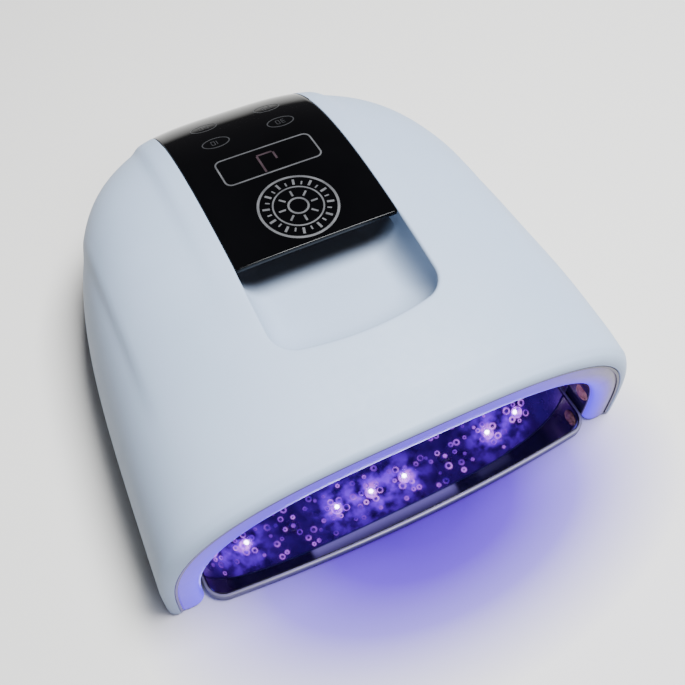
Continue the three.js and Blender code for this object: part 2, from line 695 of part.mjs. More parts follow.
casing.add(part("upper_housing", upperHousing(), softWhite));
casing.add(part("front_ring", frontRing(), ringWhite));
casing.add(part("base_frame", baseFrame(), baseGrey));
casing.add(part("touch_panel", touchPanel(), blackGloss));
mirrored(FEET).forEach(([x, y], index) => {
  const pad = part(`rubber_foot_${index + 1}`, foot(), rubberGrey);
  pad.position.set(x, y, 0);
  casing.add(pad);
});
mirrored(SCREWS).forEach(([x, y], index) => {
  const fastener = part(`casing_screw_${index + 1}`, screw(), steel);
  fastener.position.set(x, y, 0);
  casing.add(fastener);
});

chamber.add(part("reflector_dome", reflectorDome(), reflectorSilver));
chamber.add(part("led_board_crown", crownBoard(), boardWhite));
chamber.add(shoulderBoardMesh(-1), shoulderBoardMesh(1));
ledPlaces().forEach((led, index) => {
  const name = `led_${String(index + 1).padStart(2, "0")}`;
  const bead = part(name, ledGeometry(led.length), lensViolet);
  bead.position.copy(led.base);
  bead.quaternion.copy(led.turn);
  chamber.add(bead);
});
chamber.add(sensorMesh("hand_sensor_left", -1), sensorMesh("hand_sensor_right", 1));

tray.add(part("tray_base", trayBase(), blackPlastic));
tray.add(part("tray_mirror", trayMirror(), mirror));
for (const [word, side] of [
  ["left", -1],
  ["right", 1],
]) {
  tray.add(part(`tray_magnet_${word}`, magnetBox(side, TRAY_MAGNET_Y, 0.8, 2.2), steel));
  casing.add(part(`frame_magnet_${word}`, magnetBox(side, FRAME_MAGNET_Y, 2.2, 3.8), steel));
}

const display = part("display_module", displayModule(), displayGrey);
display.position.set(...DISPLAY_PLACE);
display.rotation.x = DISPLAY_TILT;
electronics.add(display);
const touchBoard = part("touch_board", new THREE.BoxGeometry(...TOUCH_BOARD_SIZE), boardGreen);
touchBoard.position.set(...TOUCH_BOARD_PLACE);
touchBoard.rotation.x = TOUCH_BOARD_TILT;
electronics.add(touchBoard);
electronics.add(part("main_board", mainBoard(), boardGreen));
CELLS.forEach(({ x, frontY, z }, row) => {
  for (const side of [-1, 1]) {
    const ends = [frontY, frontY + CELL_LENGTH].map((y) => [side * x, y, z]);
    const cell = rod(...ends, CELL_RADIUS, 20);
    electronics.add(part(`battery_cell_${2 * row + (side < 0 ? 1 : 2)}`, cell, cellBlue));
  }
});
electronics.add(part("dc_jack", dcJack(), blackPlastic));
electronics.add(part("switch_body", switchBody(), blackPlastic));
electronics.add(rockerMesh());

export default group;
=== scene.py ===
"""Looks of a desktop UV LED nail lamp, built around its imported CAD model.

Lengths are in millimetres up to the point where a mesh is made, and the frame is the CAD's:
+Z up, the hand opening facing -Y, the origin under the middle of the lamp.
"""

import json
import math
import random

import bmesh
import bpy
from mathutils import Matrix, Vector
from mathutils.geometry import delaunay_2d_cdt


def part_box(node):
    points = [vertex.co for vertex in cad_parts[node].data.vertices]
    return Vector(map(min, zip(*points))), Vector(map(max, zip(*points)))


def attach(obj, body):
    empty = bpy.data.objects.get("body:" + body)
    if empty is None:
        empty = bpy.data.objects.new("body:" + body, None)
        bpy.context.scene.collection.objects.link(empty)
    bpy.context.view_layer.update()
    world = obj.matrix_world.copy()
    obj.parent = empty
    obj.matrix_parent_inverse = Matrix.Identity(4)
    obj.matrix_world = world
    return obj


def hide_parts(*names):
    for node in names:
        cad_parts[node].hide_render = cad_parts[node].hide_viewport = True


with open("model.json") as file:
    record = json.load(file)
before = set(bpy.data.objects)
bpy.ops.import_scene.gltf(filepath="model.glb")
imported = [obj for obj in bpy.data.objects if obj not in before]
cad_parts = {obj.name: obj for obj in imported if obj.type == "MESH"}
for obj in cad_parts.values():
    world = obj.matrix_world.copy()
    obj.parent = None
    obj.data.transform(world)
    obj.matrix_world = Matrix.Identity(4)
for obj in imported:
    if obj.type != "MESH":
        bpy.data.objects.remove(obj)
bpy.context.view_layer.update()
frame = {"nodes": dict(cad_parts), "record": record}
MM = 0.001

# ------------------------------------------------------------------ driving dimensions, as in the CAD
HALF_WIDTH = 115.0
BODY_FRONT_Y = -114.2
BODY_LENGTH = 237.3
BODY_POWER = 3.62
PLAN_TAPER = 0.103
PLAN_POWER = 4.288
SIDE_POWER = 6.63
CROWN = (79.24, 46.55, -41.45)
BASE_Z = 2.0
SKIN = 1.8
LIP_Y = -115.2
LIP_HALF_WIDTH = 110.4
LIP_HEIGHT = 73.8
LIP_POWER = 3.26
BAND_BACK_Y = -99.6
BAND_FRONT_Y = -112.4
BAND_FRONT_Z = 77.8
SIDE_ROUND_Y = -110.4
OPENING = (98.4, 60.2, 3.17)
RING_OUTSIDE = (109.5, 72.9, 3.26)
RING_INSET = 0.75  # how far the face stands in from that outline, which shows the dark seal
RING_FRONT_Y = -115.0
RING_BACK_Y = -111.0
TUNNEL_BACK_Y = -97.0
DOME_FRONT_Y = -96.0
DOME_LENGTH = 176.0
DOME_PLAN_POWER = 8
DOME_SIDE_POWER = 9
DOME_WALL = 1.2
DOME_FOOT_Z = 4.8
SLOT_HALF_WIDTH = 38.2
PANEL_HALF_WIDTH = 37.9
PANEL_FRONT_Y = -23.0
PANEL_BACK_Y = 98.0
PANEL_THICKNESS = 2.4
RECESS_FRONT_Y = -69.8
RECESS_BACK_Y = -4.0
RECESS_CORNER = 12.0
RECESS_BOW = 2.7
RECESS_FLOOR_Z = 69.0
RECESS_BOWL = 13.0
LED_ROWS_Y = (-81.5, -38.0, 6.0)
CROWN_LEDS_X = (-45, -20, 0, 20, 45)
SHOULDER_X = 79.0
SHOULDER_TILT = math.radians(31.3)
SHOULDER_LED_OFFSET = 9.5
PORT_FLOOR_Y = 117.6
PORT_Z = 20.0
PORT_HALF_WIDTH = 30.0
PORT_HALF_HEIGHT = 8.2
JACK_X = -16.0
SWITCH_X = 16.0
PIVOT_Y = PORT_FLOOR_Y + 0.8
ROCKER_REST = math.radians(-8)
TRAY_FRONT_Y = -123.0
TRAY_BOW = 5.5
TRAY_HALF_WIDTH = 97.4
TRAY_CORNER = 10.0
TRAY_BOTTOM_Z = 0.6
TRAY_FLOOR_Z = 3.0
TRAY_RIM_Z = 4.4
TRAY_RIM = 1.6
SPINE_CREASE = 1.7
SHOULDER_CREASE = 1.5
LENS_RADIUS = 2.9
LAMP_HOLE_RADIUS = 3.5
CORE_RADIUS = 1.2
JACK_HOLE_RADIUS = 4.6
RING_WALL = 1.4
SEAL_REACH = 0.3


# ------------------------------------------------------------------ small maths
def clamp(value, low=0.0, high=1.0):
    return max(low, min(high, value))


def ease(value, start, end):
    """0 at start, 1 at end and smooth between them."""
    share = clamp((value - start) / (end - start))
    return share * share * (3 - 2 * share)


def spread(start, end, count):
    """Evenly spaced numbers from start to end, both included."""
    return [start + (end - start) * i / (count - 1) for i in range(count)]


def arc(middle, half_u, half_v, start, end, count):
    """Points along an elliptical arc from one angle to another."""
    turns = spread(start, end, count)
    return [(middle[0] + half_u * math.cos(a), middle[1] + half_v * math.sin(a)) for a in turns]


def ellipse(half_u, half_v, steps=40, middle=(0.0, 0.0)):
    return arc(middle, half_u, half_v, 0.0, 2 * math.pi, steps + 1)[:-1]


def mirrored(points):
    """The other side's points of an outline, in reverse order."""
    return [(-u, v) for u, v in reversed(points)]


def round_off(share):
    return math.sqrt(max(0.0, 1 - (1 - share) ** 2))


# ------------------------------------------------------------------ the housing's form
def body_arch(y):
    t = clamp((y - BODY_FRONT_Y) / BODY_LENGTH)
    crown = CROWN[0] + CROWN[1] * t + CROWN[2] * t * t
    half = HALF_WIDTH * (1 - PLAN_TAPER * t) * math.sqrt(max(1e-6, 1 - t**PLAN_POWER))
    return half, crown * math.sqrt(max(1e-6, 1 - t**SIDE_POWER)), BODY_POWER


def housing_arch(y):
    """Half width, height and squareness of the housing at y, with its sloping band and rounded lip."""
    if y >= BAND_BACK_Y:
        return body_arch(y)
    share = clamp((y - LIP_Y) / (BAND_FRONT_Y - LIP_Y))
    side = clamp((y - LIP_Y) / (SIDE_ROUND_Y - LIP_Y))
    band = clamp((y - BAND_FRONT_Y) / (BAND_BACK_Y - BAND_FRONT_Y))
    height = LIP_HEIGHT + (BAND_FRONT_Z - LIP_HEIGHT) * round_off(share)
    height += (body_arch(BAND_BACK_Y)[1] - BAND_FRONT_Z) * band
    half = LIP_HALF_WIDTH + (body_arch(y)[0] - LIP_HALF_WIDTH) * round_off(side)
    return half, height, LIP_POWER + (BODY_POWER - LIP_POWER) * side


def arch_z(arch, x):
    half, height, power = arch
    return height * max(0.0, 1 - abs(x / half) ** power) ** (1 / power)


def arch_x(arch, z):
    half, height, power = arch
    return half * max(0.0, 1 - abs(z / height) ** power) ** (1 / power)


def arch_angle(arch, x, z):
    return math.atan2(z / arch[1], x / arch[0])


def arch_at(arch, angle):
    """The arch's (x, z) at an angle from its right foot."""
    half, height, power = arch
    c, s = math.cos(angle), math.sin(angle)
    radius = (abs(c) ** power + abs(s) ** power) ** (-1 / power)
    return half * radius * c, height * radius * s


def arch_row(arch, y, count, low_z):
    """Evenly turned points of an arch from its right foot at low_z to its left."""
    foot = arch_angle(arch, arch_x(arch, low_z), low_z)
    row = []
    for angle in spread(foot, math.pi - foot, count):
        x, z = arch_at(arch, angle)
        row.append(Vector((x, y, z)))
    return row


def outward(arch_of, point, step=0.05):
    """Unit normal of a skin whose arch at y is arch_of(y)."""
    x, y, z = point

    def level(at_y):
        half, height, power = arch_of(at_y)
        return abs(x / half) ** power + abs(z / height) ** power

    half, height, power = arch_of(y)
    slope_x = power * abs(x) ** (power - 1) / half**power
    slope_z = power * abs(z) ** (power - 1) / height**power
    slope_y = (level(y + step) - level(y - step)) / (2 * step)
    return Vector((math.copysign(slope_x, x), slope_y, math.copysign(slope_z, z))).normalized()


def crease_depth(x, y, z):
    """How far the skin is pressed in beside the spine strip and along the shoulder's edge."""
    side = abs(x)
    spine = SPINE_CREASE * ease(y, -62, 55) * (1 - ease(y, 96, 117))
    spine *= ease(side, 45.5, 52.5) * (1 - ease(side, 54, 86))
    ledge = SHOULDER_CREASE * ease(y, -78, -25) * (1 - ease(y, 45, 88))
    ledge *= ease(side, 88.5, 93.5) * ease(z, 24, 62)
    return spine + ledge


def skin_point(x, y):
    """A point of the housing's outer skin, and its normal."""
    point = Vector((x, y, arch_z(housing_arch(y), x)))
    normal = outward(housing_arch, point)
    return point - normal * crease_depth(*point), normal


def skin_y(x, z):
    """Where the rounded back passes over (x, z)."""
    low, high = 90.0, BODY_FRONT_Y + BODY_LENGTH
    for _ in range(40):
        middle = (low + high) / 2
        half, height, power = body_arch(middle)
        inside = half > 0 and height > 0 and abs(x / half) ** power + abs(z / height) ** power < 1
        low, high = (middle, high) if inside else (low, middle)
    return low


# ------------------------------------------------------------------ mesh building
class Form:
    """Points and faces gathered before they become a mesh."""

    def __init__(self):
        self.points = []
        self.faces = []
        self.marks = []

    def add_points(self, points):
        first = len(self.points)
        self.points.extend(Vector(point) for point in points)
        return list(range(first, len(self.points)))

    def face(self, indices, mark=0):
        self.faces.append(tuple(indices))
        self.marks.append(mark)

    def strips(self, rows, wrap=False, loop=False, mark=0, marks=None):
        """Quads between rows of equal length. wrap closes each row, loop joins the last row to the first."""
        lines = [self.add_points(row) for row in rows]
        pairs = list(zip(lines, lines[1:])) + ([(lines[-1], lines[0])] if loop else [])
        for number, (one, two) in enumerate(pairs):
            count = len(one)
            for i in range(count if wrap else count - 1):
                j = (i + 1) % count
                self.face((one[i], one[j], two[j], two[i]), marks[number] if marks else mark)
        return lines

    def mesh(self, name, merge=1e-3):
        mesh = bpy.data.meshes.new(name)
        mesh.from_pydata([point * MM for point in self.points], [], self.faces)
        mesh.polygons.foreach_set("material_index", self.marks)
        work = bmesh.new()
        work.from_mesh(mesh)
        bmesh.ops.remove_doubles(work, verts=work.verts, dist=merge * MM)
        bmesh.ops.recalc_face_normals(work, faces=work.faces)
        work.to_mesh(mesh)
        work.free()
        return mesh

    def place(self, turn):
        """Moves every point by a matrix."""
        self.points = [turn @ point for point in self.points]

    def piece(self, name, merge=1e-3):
        return link(name, self.mesh(name, merge))


def link(name, mesh):
    piece = bpy.data.objects.new(name, mesh)
    bpy.context.scene.collection.objects.link(piece)
    return piece


def turn_out(mesh, polygon, direction):
    """Flips the whole mesh where this polygon of it faces against the direction."""
    if polygon.normal.dot(Vector(direction)) < 0:
        mesh.flip_normals()


def modify(piece, kind, **settings):
    modifier = piece.modifiers.new(kind.title(), kind)
    for key, value in settings.items():
        setattr(modifier, key, value)


def solidify(piece, thickness, offset=-1.0):
    modify(piece, "SOLIDIFY", thickness=thickness * MM, offset=offset)


def bevel(piece, width, segments=3, angle=40):
    modify(
        piece,
        "BEVEL",
        width=width * MM,
        segments=segments,
        limit_method="ANGLE",
        angle_limit=math.radians(angle),
    )


def settle(piece, sharp=35):
    """Applies the modifiers and shades smooth except across sharp edges."""
    bpy.context.view_layer.update()
    depsgraph = bpy.context.evaluated_depsgraph_get()
    mesh = bpy.data.meshes.new_from_object(piece.evaluated_get(depsgraph))
    piece.modifiers.clear()
    piece.data = mesh
    work = bmesh.new()
    work.from_mesh(mesh)
    limit = math.radians(sharp)
    for one in work.faces:
        one.smooth = True
    for edge in work.edges:
        edge.smooth = len(edge.link_faces) == 2 and edge.calc_face_angle(0) < limit
    work.to_mesh(mesh)
    work.free()


def cut(piece, form):
    """Cuts a closed form out of the piece."""
    cutter = form.piece("cutter")
    modify(piece, "BOOLEAN", operation="DIFFERENCE", object=cutter, solver="EXACT")
    settle(piece)
    bpy.data.objects.remove(cutter)


def finish_piece(piece, *materials, body="lamp", slot=None, stands_for=(), sharp=35):
    """Settles a piece and gives it its materials and its body. The slot, by default the first material's, is
    not used.
    """
    settle(piece, sharp)
    for name in materials:
        piece.data.materials.append(MATERIALS[name])
    slot = slot or materials[0]
    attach(piece, body)
    if stands_for:
        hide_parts(*stands_for)


def turned_rows(profile, segments):
    """Rings about +Z from (radius, height) pairs."""
    return [[(u, v, height) for u, v in ellipse(radius, radius, segments)] for radius, height in profile]


def lathe(profile, segments):
    """A turned form about +Z from (radius, height) pairs. The ends on the axis close it."""
    form = Form()
    form.strips(turned_rows(profile, segments), wrap=True)
    return form


def prism(outline, low, high, axis="z"):
    """A closed outline of (u, v) pairs raised from low to high along Z, or along Y."""
    form = Form()
    if axis == "z":
        ends = [[(u, v, w) for u, v in outline] for w in (low, high)]
    else:
        ends = [[(u, w, v) for u, v in outline] for w in (low, high)]
    rings = form.strips(ends, wrap=True)
    form.face(reversed(rings[0]))
    form.face(rings[1])
    return form


def rounded_rect(half_u, half_v, corner, middle):
    points = []
    for turn, (side_u, side_v) in enumerate([(1, 1), (-1, 1), (-1, -1), (1, -1)]):
        center = (middle[0] + side_u * (half_u - corner), middle[1] + side_v * (half_v - corner))
        start = math.pi / 2 * turn
        points += arc(center, corner, corner, start, start + math.pi / 2, 9)
    return points


# ------------------------------------------------------------------ materials
class Nodes:
    """A material's node tree with short calls."""

    def __init__(self, name):
        self.material = bpy.data.materials.new(name)
        self.material.use_nodes = True
        self.tree = self.material.node_tree
        self.shader = self.tree.nodes["Principled BSDF"]
        self.where = self.tree.nodes.new("ShaderNodeTexCoord").outputs["Object"]

    def node(self, kind, **settings):
        node = self.tree.nodes.new(kind)
        for key, value in settings.items():
            setattr(node, key, value)
        return node

    def wire(self, start, end):
        self.tree.links.new(start, end)

    def put(self, **values):
        for key, value in values.items():
            self.shader.inputs[key.replace("_", " ")].default_value = value

    def noise(self, scale, detail=3.0):
        noise = self.node("ShaderNodeTexNoise")
        noise.inputs["Scale"].default_value = scale
        noise.inputs["Detail"].default_value = detail
        self.wire(self.where, noise.inputs["Vector"])
        return noise.outputs["Fac"]

    def ramp(self, factor, stops):
        ramp = self.node("ShaderNodeValToRGB")
        elements = ramp.color_ramp.elements
        while len(elements) < len(stops):
            elements.new(0.5)
        for element, (position, color) in zip(elements, stops):
            element.position = position
            element.color = (*color, 1.0)
        self.wire(factor, ramp.inputs["Fac"])
        return ramp.outputs["Color"]

    def paint(self, socket, factor, stops):
        """Colours one of the shader's sockets by a ramp over the factor."""
        self.wire(self.ramp(factor, stops), self.shader.inputs[socket])

    def glow(self):
        """The painted light strength of each point, as set_glow stored it."""
        return self.node("ShaderNodeAttribute", attribute_name="glow").outputs["Fac"]

    def rescale(self, factor, start, end, low=0.0, high=1.0, kind="LINEAR"):
        scaled = self.node("ShaderNodeMapRange", interpolation_type=kind)
        for socket, value in zip(("From Min", "From Max", "To Min", "To Max"), (start, end, low, high)):
            scaled.inputs[socket].default_value = value
        self.wire(factor, scaled.inputs["Value"])
        return scaled.outputs["Result"]

    def calculate(self, operation, first, second, third=None):
        """A math node's result. The first value is a socket, and the others are sockets or numbers."""
        node = self.node("ShaderNodeMath", operation=operation)
        for place, value in zip(node.inputs, (first, second, third)):
            if isinstance(value, bpy.types.NodeSocket):
                self.wire(value, place)
            elif value is not None:
                place.default_value = value
        return node.outputs["Value"]

    def spread_to(self, factor, socket, low, high):
        self.wire(self.rescale(factor, 0.3, 0.7, low, high), self.shader.inputs[socket])

    def paint_cavity_shadow(self, color):
        """Paints a shadow into the colour: the finger recess under the panel turns dark, fading in from just
        in front of the panel's edge.
        """
        place = self.node("ShaderNodeSeparateXYZ")
        self.wire(self.where, place.inputs["Vector"])
        x, y, z = (place.outputs[axis] for axis in "XYZ")
        front, back = (PANEL_FRONT_Y - 3.0) * MM, (PANEL_FRONT_Y + 8.0) * MM
        share = self.rescale(y, front, back, kind="SMOOTHSTEP")
        limits = [
            self.calculate("LESS_THAN", z, (RECESS_FLOOR_Z + 11.5) * MM),
            self.calculate("GREATER_THAN", z, (RECESS_FLOOR_Z - 0.5) * MM),
            self.calculate("COMPARE", x, 0.0, (SLOT_HALF_WIDTH + 0.3) * MM),
        ]
        for limit in limits:
            share = self.calculate("MULTIPLY", share, limit)
        mix = self.node("ShaderNodeMix", data_type="RGBA")
        self.wire(share, mix.inputs["Factor"])
        self.wire(color, mix.inputs["A"])
        # The painted shadow's dark colour.
        mix.inputs["B"].default_value = (0.035, 0.035, 0.042, 1.0)
        return mix.outputs["Result"]

    def bump(self, height, strength, distance):
        bump = self.node("ShaderNodeBump")
        bump.inputs["Strength"].default_value = strength
        bump.inputs["Distance"].default_value = distance * MM
        self.wire(height, bump.inputs["Height"])
        self.wire(bump.outputs["Normal"], self.shader.inputs["Normal"])


def surface(name, dark, light, rough, grain=900.0, bump=0.1, depth=0.05, patches=18.0, lined=False, **values):
    """A moulded or metal surface: slow colour drift, fine grain in the roughness and the bump, and when asked
    a painted shadow in the recess under the panel.
    """
    nodes = Nodes(name)
    color = nodes.ramp(nodes.noise(patches, detail=4.0), [(0.3, dark), (0.7, light)])
    # Painted shadow in the recess under the panel.
    if lined:
        color = nodes.paint_cavity_shadow(color)
    nodes.wire(color, nodes.shader.inputs["Base Color"])
    nodes.spread_to(nodes.noise(grain / 6, detail=2.0), "Roughness", *rough)
    nodes.bump(nodes.noise(grain, detail=2.0), bump, depth)
    nodes.put(**values)
    return nodes.material


# Name: darker colour, lighter colour, roughness, and what else surface() takes.
HOUSING = ((0.27, 0.335, 0.445), (0.295, 0.36, 0.475), (0.46, 0.52))
SURFACES = {
    "soft_white": (*HOUSING, {"grain": 1600, "Specular_IOR_Level": 0.22}),
    # The second white is the housing's white with a painted shadow in the recess under the panel.
    "lined_white": (*HOUSING, {"grain": 1600, "Specular_IOR_Level": 0.22, "lined": True}),
    "base_grey": ((0.50, 0.51, 0.56), (0.55, 0.56, 0.61), (0.5, 0.62), {"bump": 0.25}),
    "black_gloss": (
        (0.0006, 0.0006, 0.0008),
        (0.0012, 0.0012, 0.0015),
        (0.05, 0.09),
        {"grain": 300, "bump": 0.02, "depth": 0.01, "Specular_IOR_Level": 0.14},
    ),
    "black_plastic": ((0.006, 0.006, 0.009), (0.012, 0.012, 0.016), (0.28, 0.4), {"bump": 0.2}),
    "switch_black": ((0.008, 0.008, 0.010), (0.014, 0.014, 0.017), (0.3, 0.42), {"bump": 0.2}),
    "mirror_steel": (
        (0.42, 0.42, 0.50),
        (0.46, 0.46, 0.54),
        (0.03, 0.05),
        {"grain": 120, "bump": 0.02, "depth": 0.01, "Metallic": 1.0},
    ),
    "rim_satin": ((0.085, 0.078, 0.125), (0.12, 0.11, 0.165), (0.35, 0.45), {"bump": 0.1}),
    "nickel_steel": ((0.50, 0.50, 0.52), (0.62, 0.62, 0.64), (0.2, 0.34), {"bump": 0.1, "Metallic": 1.0}),
    "rubber_grey": ((0.03, 0.03, 0.034), (0.05, 0.05, 0.055), (0.75, 0.9), {"bump": 0.5}),
    "board_white": ((0.66, 0.68, 0.64), (0.74, 0.76, 0.72), (0.45, 0.6), {}),
    "board_green": ((0.004, 0.045, 0.016), (0.012, 0.11, 0.04), (0.3, 0.5), {"patches": 260.0}),
    "cell_wrap": ((0.01, 0.07, 0.30), (0.02, 0.11, 0.40), (0.25, 0.4), {}),
    "display_grey": ((0.012, 0.012, 0.016), (0.022, 0.022, 0.03), (0.2, 0.3), {}),
    "print_grey": ((0.034, 0.034, 0.037), (0.068, 0.068, 0.072), (0.35, 0.5), {"patches": 160.0}),
    "print_dim": ((0.012, 0.012, 0.014), (0.026, 0.026, 0.028), (0.35, 0.5), {"patches": 160.0}),
    "digit_dim": ((0.016, 0.009, 0.012), (0.032, 0.020, 0.025), (0.3, 0.4), {"patches": 220.0}),
}
# Name: weaker colour, stronger colour, lowest and highest strength, and the drift's scale.
GLOWS = {
    "led_lens": ((0.35, 0.0, 1.0), (0.80, 0.20, 1.0), 2.0, 4.2, 500.0),
    "led_core": ((0.92, 0.70, 1.0), (1.0, 1.0, 1.0), 26.0, 34.0, 300.0),
    # The dimple rings are no lamps: their glow is painted light. dimple_far also lights the dim lamps' cores.
    "dimple_near": ((0.30, 0.0, 0.90), (0.80, 0.25, 0.90), 0.5, 2.6, 170.0),
    "dimple_far": ((0.16, 0.0, 0.55), (0.60, 0.14, 0.85), 0.2, 2.2, 95.0),
    "dim_lens": ((0.02, 0.0, 0.08), (0.05, 0.0, 0.20), 0.2, 0.6, 400.0),
}


def glow_material(name, dark, light, low, high, scale):
    """A lit lens, or a dimple ring with a painted glow: the glow's colour and strength drift from place to
    place.
    """
    nodes = Nodes(name)
    drift = nodes.noise(scale, detail=2.0)
    color = nodes.ramp(drift, [(0.35, dark), (0.65, light)])
    nodes.wire(color, nodes.shader.inputs["Base Color"])
    nodes.wire(color, nodes.shader.inputs["Emission Color"])
    nodes.spread_to(drift, "Emission Strength", low, high)
    nodes.put(Roughness=0.15)
    return nodes.material


def amber_material(name):
    """Tinted clear plastic over a sensor, with a faint painted glow that stands for the chamber's light."""
    nodes = Nodes(name)
    nodes.paint("Base Color", nodes.noise(420.0), [(0.3, (0.20, 0.09, 0.045)), (0.7, (0.62, 0.36, 0.22))])
    # Painted glow in the emission.
    lit = [(0.4, (0.05, 0.015, 0.004)), (0.7, (0.40, 0.20, 0.11))]
    nodes.paint("Emission Color", nodes.noise(300.0), lit)
    nodes.put(Roughness=0.12, Emission_Strength=0.35)
    return nodes.material


def ring_material(name):
    """The ring's frosted face, dark by itself: its violet light is a painted glow in the emission, most at
    the opening's edge.
    """
    nodes = Nodes(name)
    nodes.paint("Base Color", nodes.noise(30.0), [(0.3, (0.055, 0.052, 0.067)), (0.7, (0.07, 0.065, 0.08))])
    # Painted glow: grey-lavender where the glow is low, violet near the opening.
    stops = [(0.0, (0.075, 0.065, 0.09)), (0.45, (0.055, 0.01, 0.42)), (1.0, (0.055, 0.0, 1.0))]
    nodes.paint("Emission Color", nodes.glow(), stops)
    nodes.put(Emission_Strength=2.3)
    nodes.spread_to(nodes.noise(220.0), "Roughness", 0.34, 0.42)
    nodes.bump(nodes.noise(1400.0), 0.08, 0.04)
    return nodes.material


def tunnel_material(name):
    """The dark inner lip, with a painted pale glow across the middle of its crown."""
    nodes = Nodes(name)
    nodes.paint("Base Color", nodes.noise(60.0), [(0.3, (0.010, 0.008, 0.022)), (0.7, (0.022, 0.018, 0.045))])
    glow = nodes.glow()
    # Painted glow, strongest on the bar and patch.
    nodes.paint("Emission Color", glow, [(0.0, (0.004, 0.002, 0.02)), (1.0, (0.40, 0.30, 0.92))])
    nodes.wire(glow, nodes.shader.inputs["Emission Strength"])
    nodes.put(Roughness=0.22)
    return nodes.material


def reflector_material(name):
    """Vacuum-metallised plastic, with a painted violet glow around every lamp."""
    nodes = Nodes(name)
    nodes.paint("Base Color", nodes.noise(55.0), [(0.3, (0.02, 0.0, 0.08)), (0.7, (0.10, 0.02, 0.26))])
    # Painted pools of light, scaled by a noise drift.
    stops = [
        (0.0, (0.004, 0.0, 0.02)),
        (0.12, (0.02, 0.0, 0.10)),
        (0.35, (0.085, 0.0, 0.45)),
        (0.65, (0.22, 0.0, 1.0)),
        (1.0, (0.75, 0.15, 1.0)),
    ]
    wave = nodes.rescale(nodes.noise(150.0, detail=2.0), 0.35, 0.65, 0.05, 1.5)
    nodes.paint("Emission Color", nodes.calculate("MULTIPLY", nodes.glow(), wave), stops)
    nodes.spread_to(nodes.noise(80.0), "Roughness", 0.22, 0.34)
    nodes.bump(nodes.noise(240.0, detail=1.0), 0.3, 0.3)
    nodes.put(Metallic=0.85, Emission_Strength=2.9)
    return nodes.material


LIT_MATERIALS = {
    "amber_lens": amber_material,
    "ring_white": ring_material,
    "tunnel_dark": tunnel_material,
    "reflector_silver": reflector_material,
}


def build_materials():
    made = {}
    for name, (dark, light, rough, more) in SURFACES.items():
        made[name] = surface(name, dark, light, rough, **more)
    for name, values in GLOWS.items():
        made[name] = glow_material(name, *values)
    for name, build in LIT_MATERIALS.items():
        made[name] = build(name)
    return made


MATERIALS = build_materials()


def set_glow(piece, strength_at):
    """Stores a painted light strength for each point, from its place in millimetres."""
    mesh = piece.data
    layer = mesh.attributes.new("glow", "FLOAT", "POINT")
    for vertex, item in zip(mesh.vertices, layer.data):
        item.value = strength_at(vertex.co / MM)


# ------------------------------------------------------------------ housing
CROWN_HALF = 44.0
CROWN_FRONT_Y = -90.0
CROWN_BACK_Y = 102.0
MID_COLUMNS = 23
FLANK_COLUMNS = 56
BOW_TILT = math.atan(2 * RECESS_BOW / (SLOT_HALF_WIDTH - RECESS_CORNER))
FILLET_STEPS = 5


def housing_rows_y():
    """Rows from the lip to the back, close together where the skin turns fastest."""
    shares = (0, 0.02, 0.06, 0.12, 0.2, 0.3, 0.42, 0.56, 0.72, 1)
    lip = [LIP_Y + share * (BAND_FRONT_Y - LIP_Y) for share in shares]
    band = [-111.4, SIDE_ROUND_Y, -108.8, -107.2, -105.6, -104.0, -102.4, -101.0, BAND_BACK_Y, -98.2, -96.4]
    band += [-94.4, -92.2]
    deck = spread(CROWN_FRONT_Y, 82.0, 79)
    slope = spread(83.2, CROWN_BACK_Y, 17)
    last_t = (CROWN_BACK_Y - BODY_FRONT_Y) / BODY_LENGTH
    tail = []
    steps = 34
    for i in range(1, steps + 1):
        root = math.sqrt(1 - last_t) * (1 - i / (steps + 1.6))
        tail.append(BODY_FRONT_Y + (1 - root * root) * BODY_LENGTH)
    return lip + band + deck + slope + tail


def housing_row(y):
    """One row across the housing: even steps over the crown, then down each flank."""
    arch = housing_arch(y)
    middle = CROWN_HALF * min(1.0, arch[0] / body_arch(CROWN_BACK_Y)[0])
    start = arch_angle(arch, middle, arch_z(arch, middle))
    foot_z = min(BASE_Z, 0.9 * arch[1])
    foot = arch_angle(arch, arch_x(arch, foot_z), foot_z)
    half_row = [(x, arch_z(arch, x)) for x in spread(0.0, middle, MID_COLUMNS)]
    half_row += [arch_at(arch, angle) for angle in spread(start, foot, FLANK_COLUMNS)[1:]]
    across = mirrored(half_row) + half_row[1:]
    row = []
    for x, z in across:
        point = Vector((x, y, z))
        row.append(point - outward(housing_arch, point) * crease_depth(*point))
    return row


def recess_outline(inset):
    """Bowl outline set in from the recess's mouth: right side, front, left side, then the hidden back."""
    half = SLOT_HALF_WIDTH - inset
    center_y = RECESS_FRONT_Y + RECESS_BOW + RECESS_CORNER + inset - 0.2
    side_ys = spread(PANEL_FRONT_Y, center_y, 16)
    turn = math.pi / 2 - BOW_TILT
    corner = arc((half - RECESS_CORNER, center_y), RECESS_CORNER, RECESS_CORNER, 0.0, -turn, 13)[1:]
    end_x, end_y = corner[-1]
    middle_y = end_y - math.tan(BOW_TILT) * end_x / 2
    front = [(x, middle_y + (end_y - middle_y) * (x / end_x) ** 2) for x in spread(end_x, -end_x, 27)[1:-1]]
    right = [(half, y) for y in side_ys] + corner
    seen = right + front + mirrored(right)
    back_center_y = RECESS_BACK_Y - RECESS_CORNER
    left = [(-half, y) for y in spread(PANEL_FRONT_Y, back_center_y, 5)[1:]]
    center = (RECESS_CORNER - half, back_center_y)
    left += arc(center, RECESS_CORNER, RECESS_CORNER, math.pi, math.pi / 2, 7)[1:]
    back = [(x, RECESS_BACK_Y) for x in spread(left[-1][0], -left[-1][0], 9)[1:-1]]
    hidden = left + back + mirrored(left)
    return seen, hidden


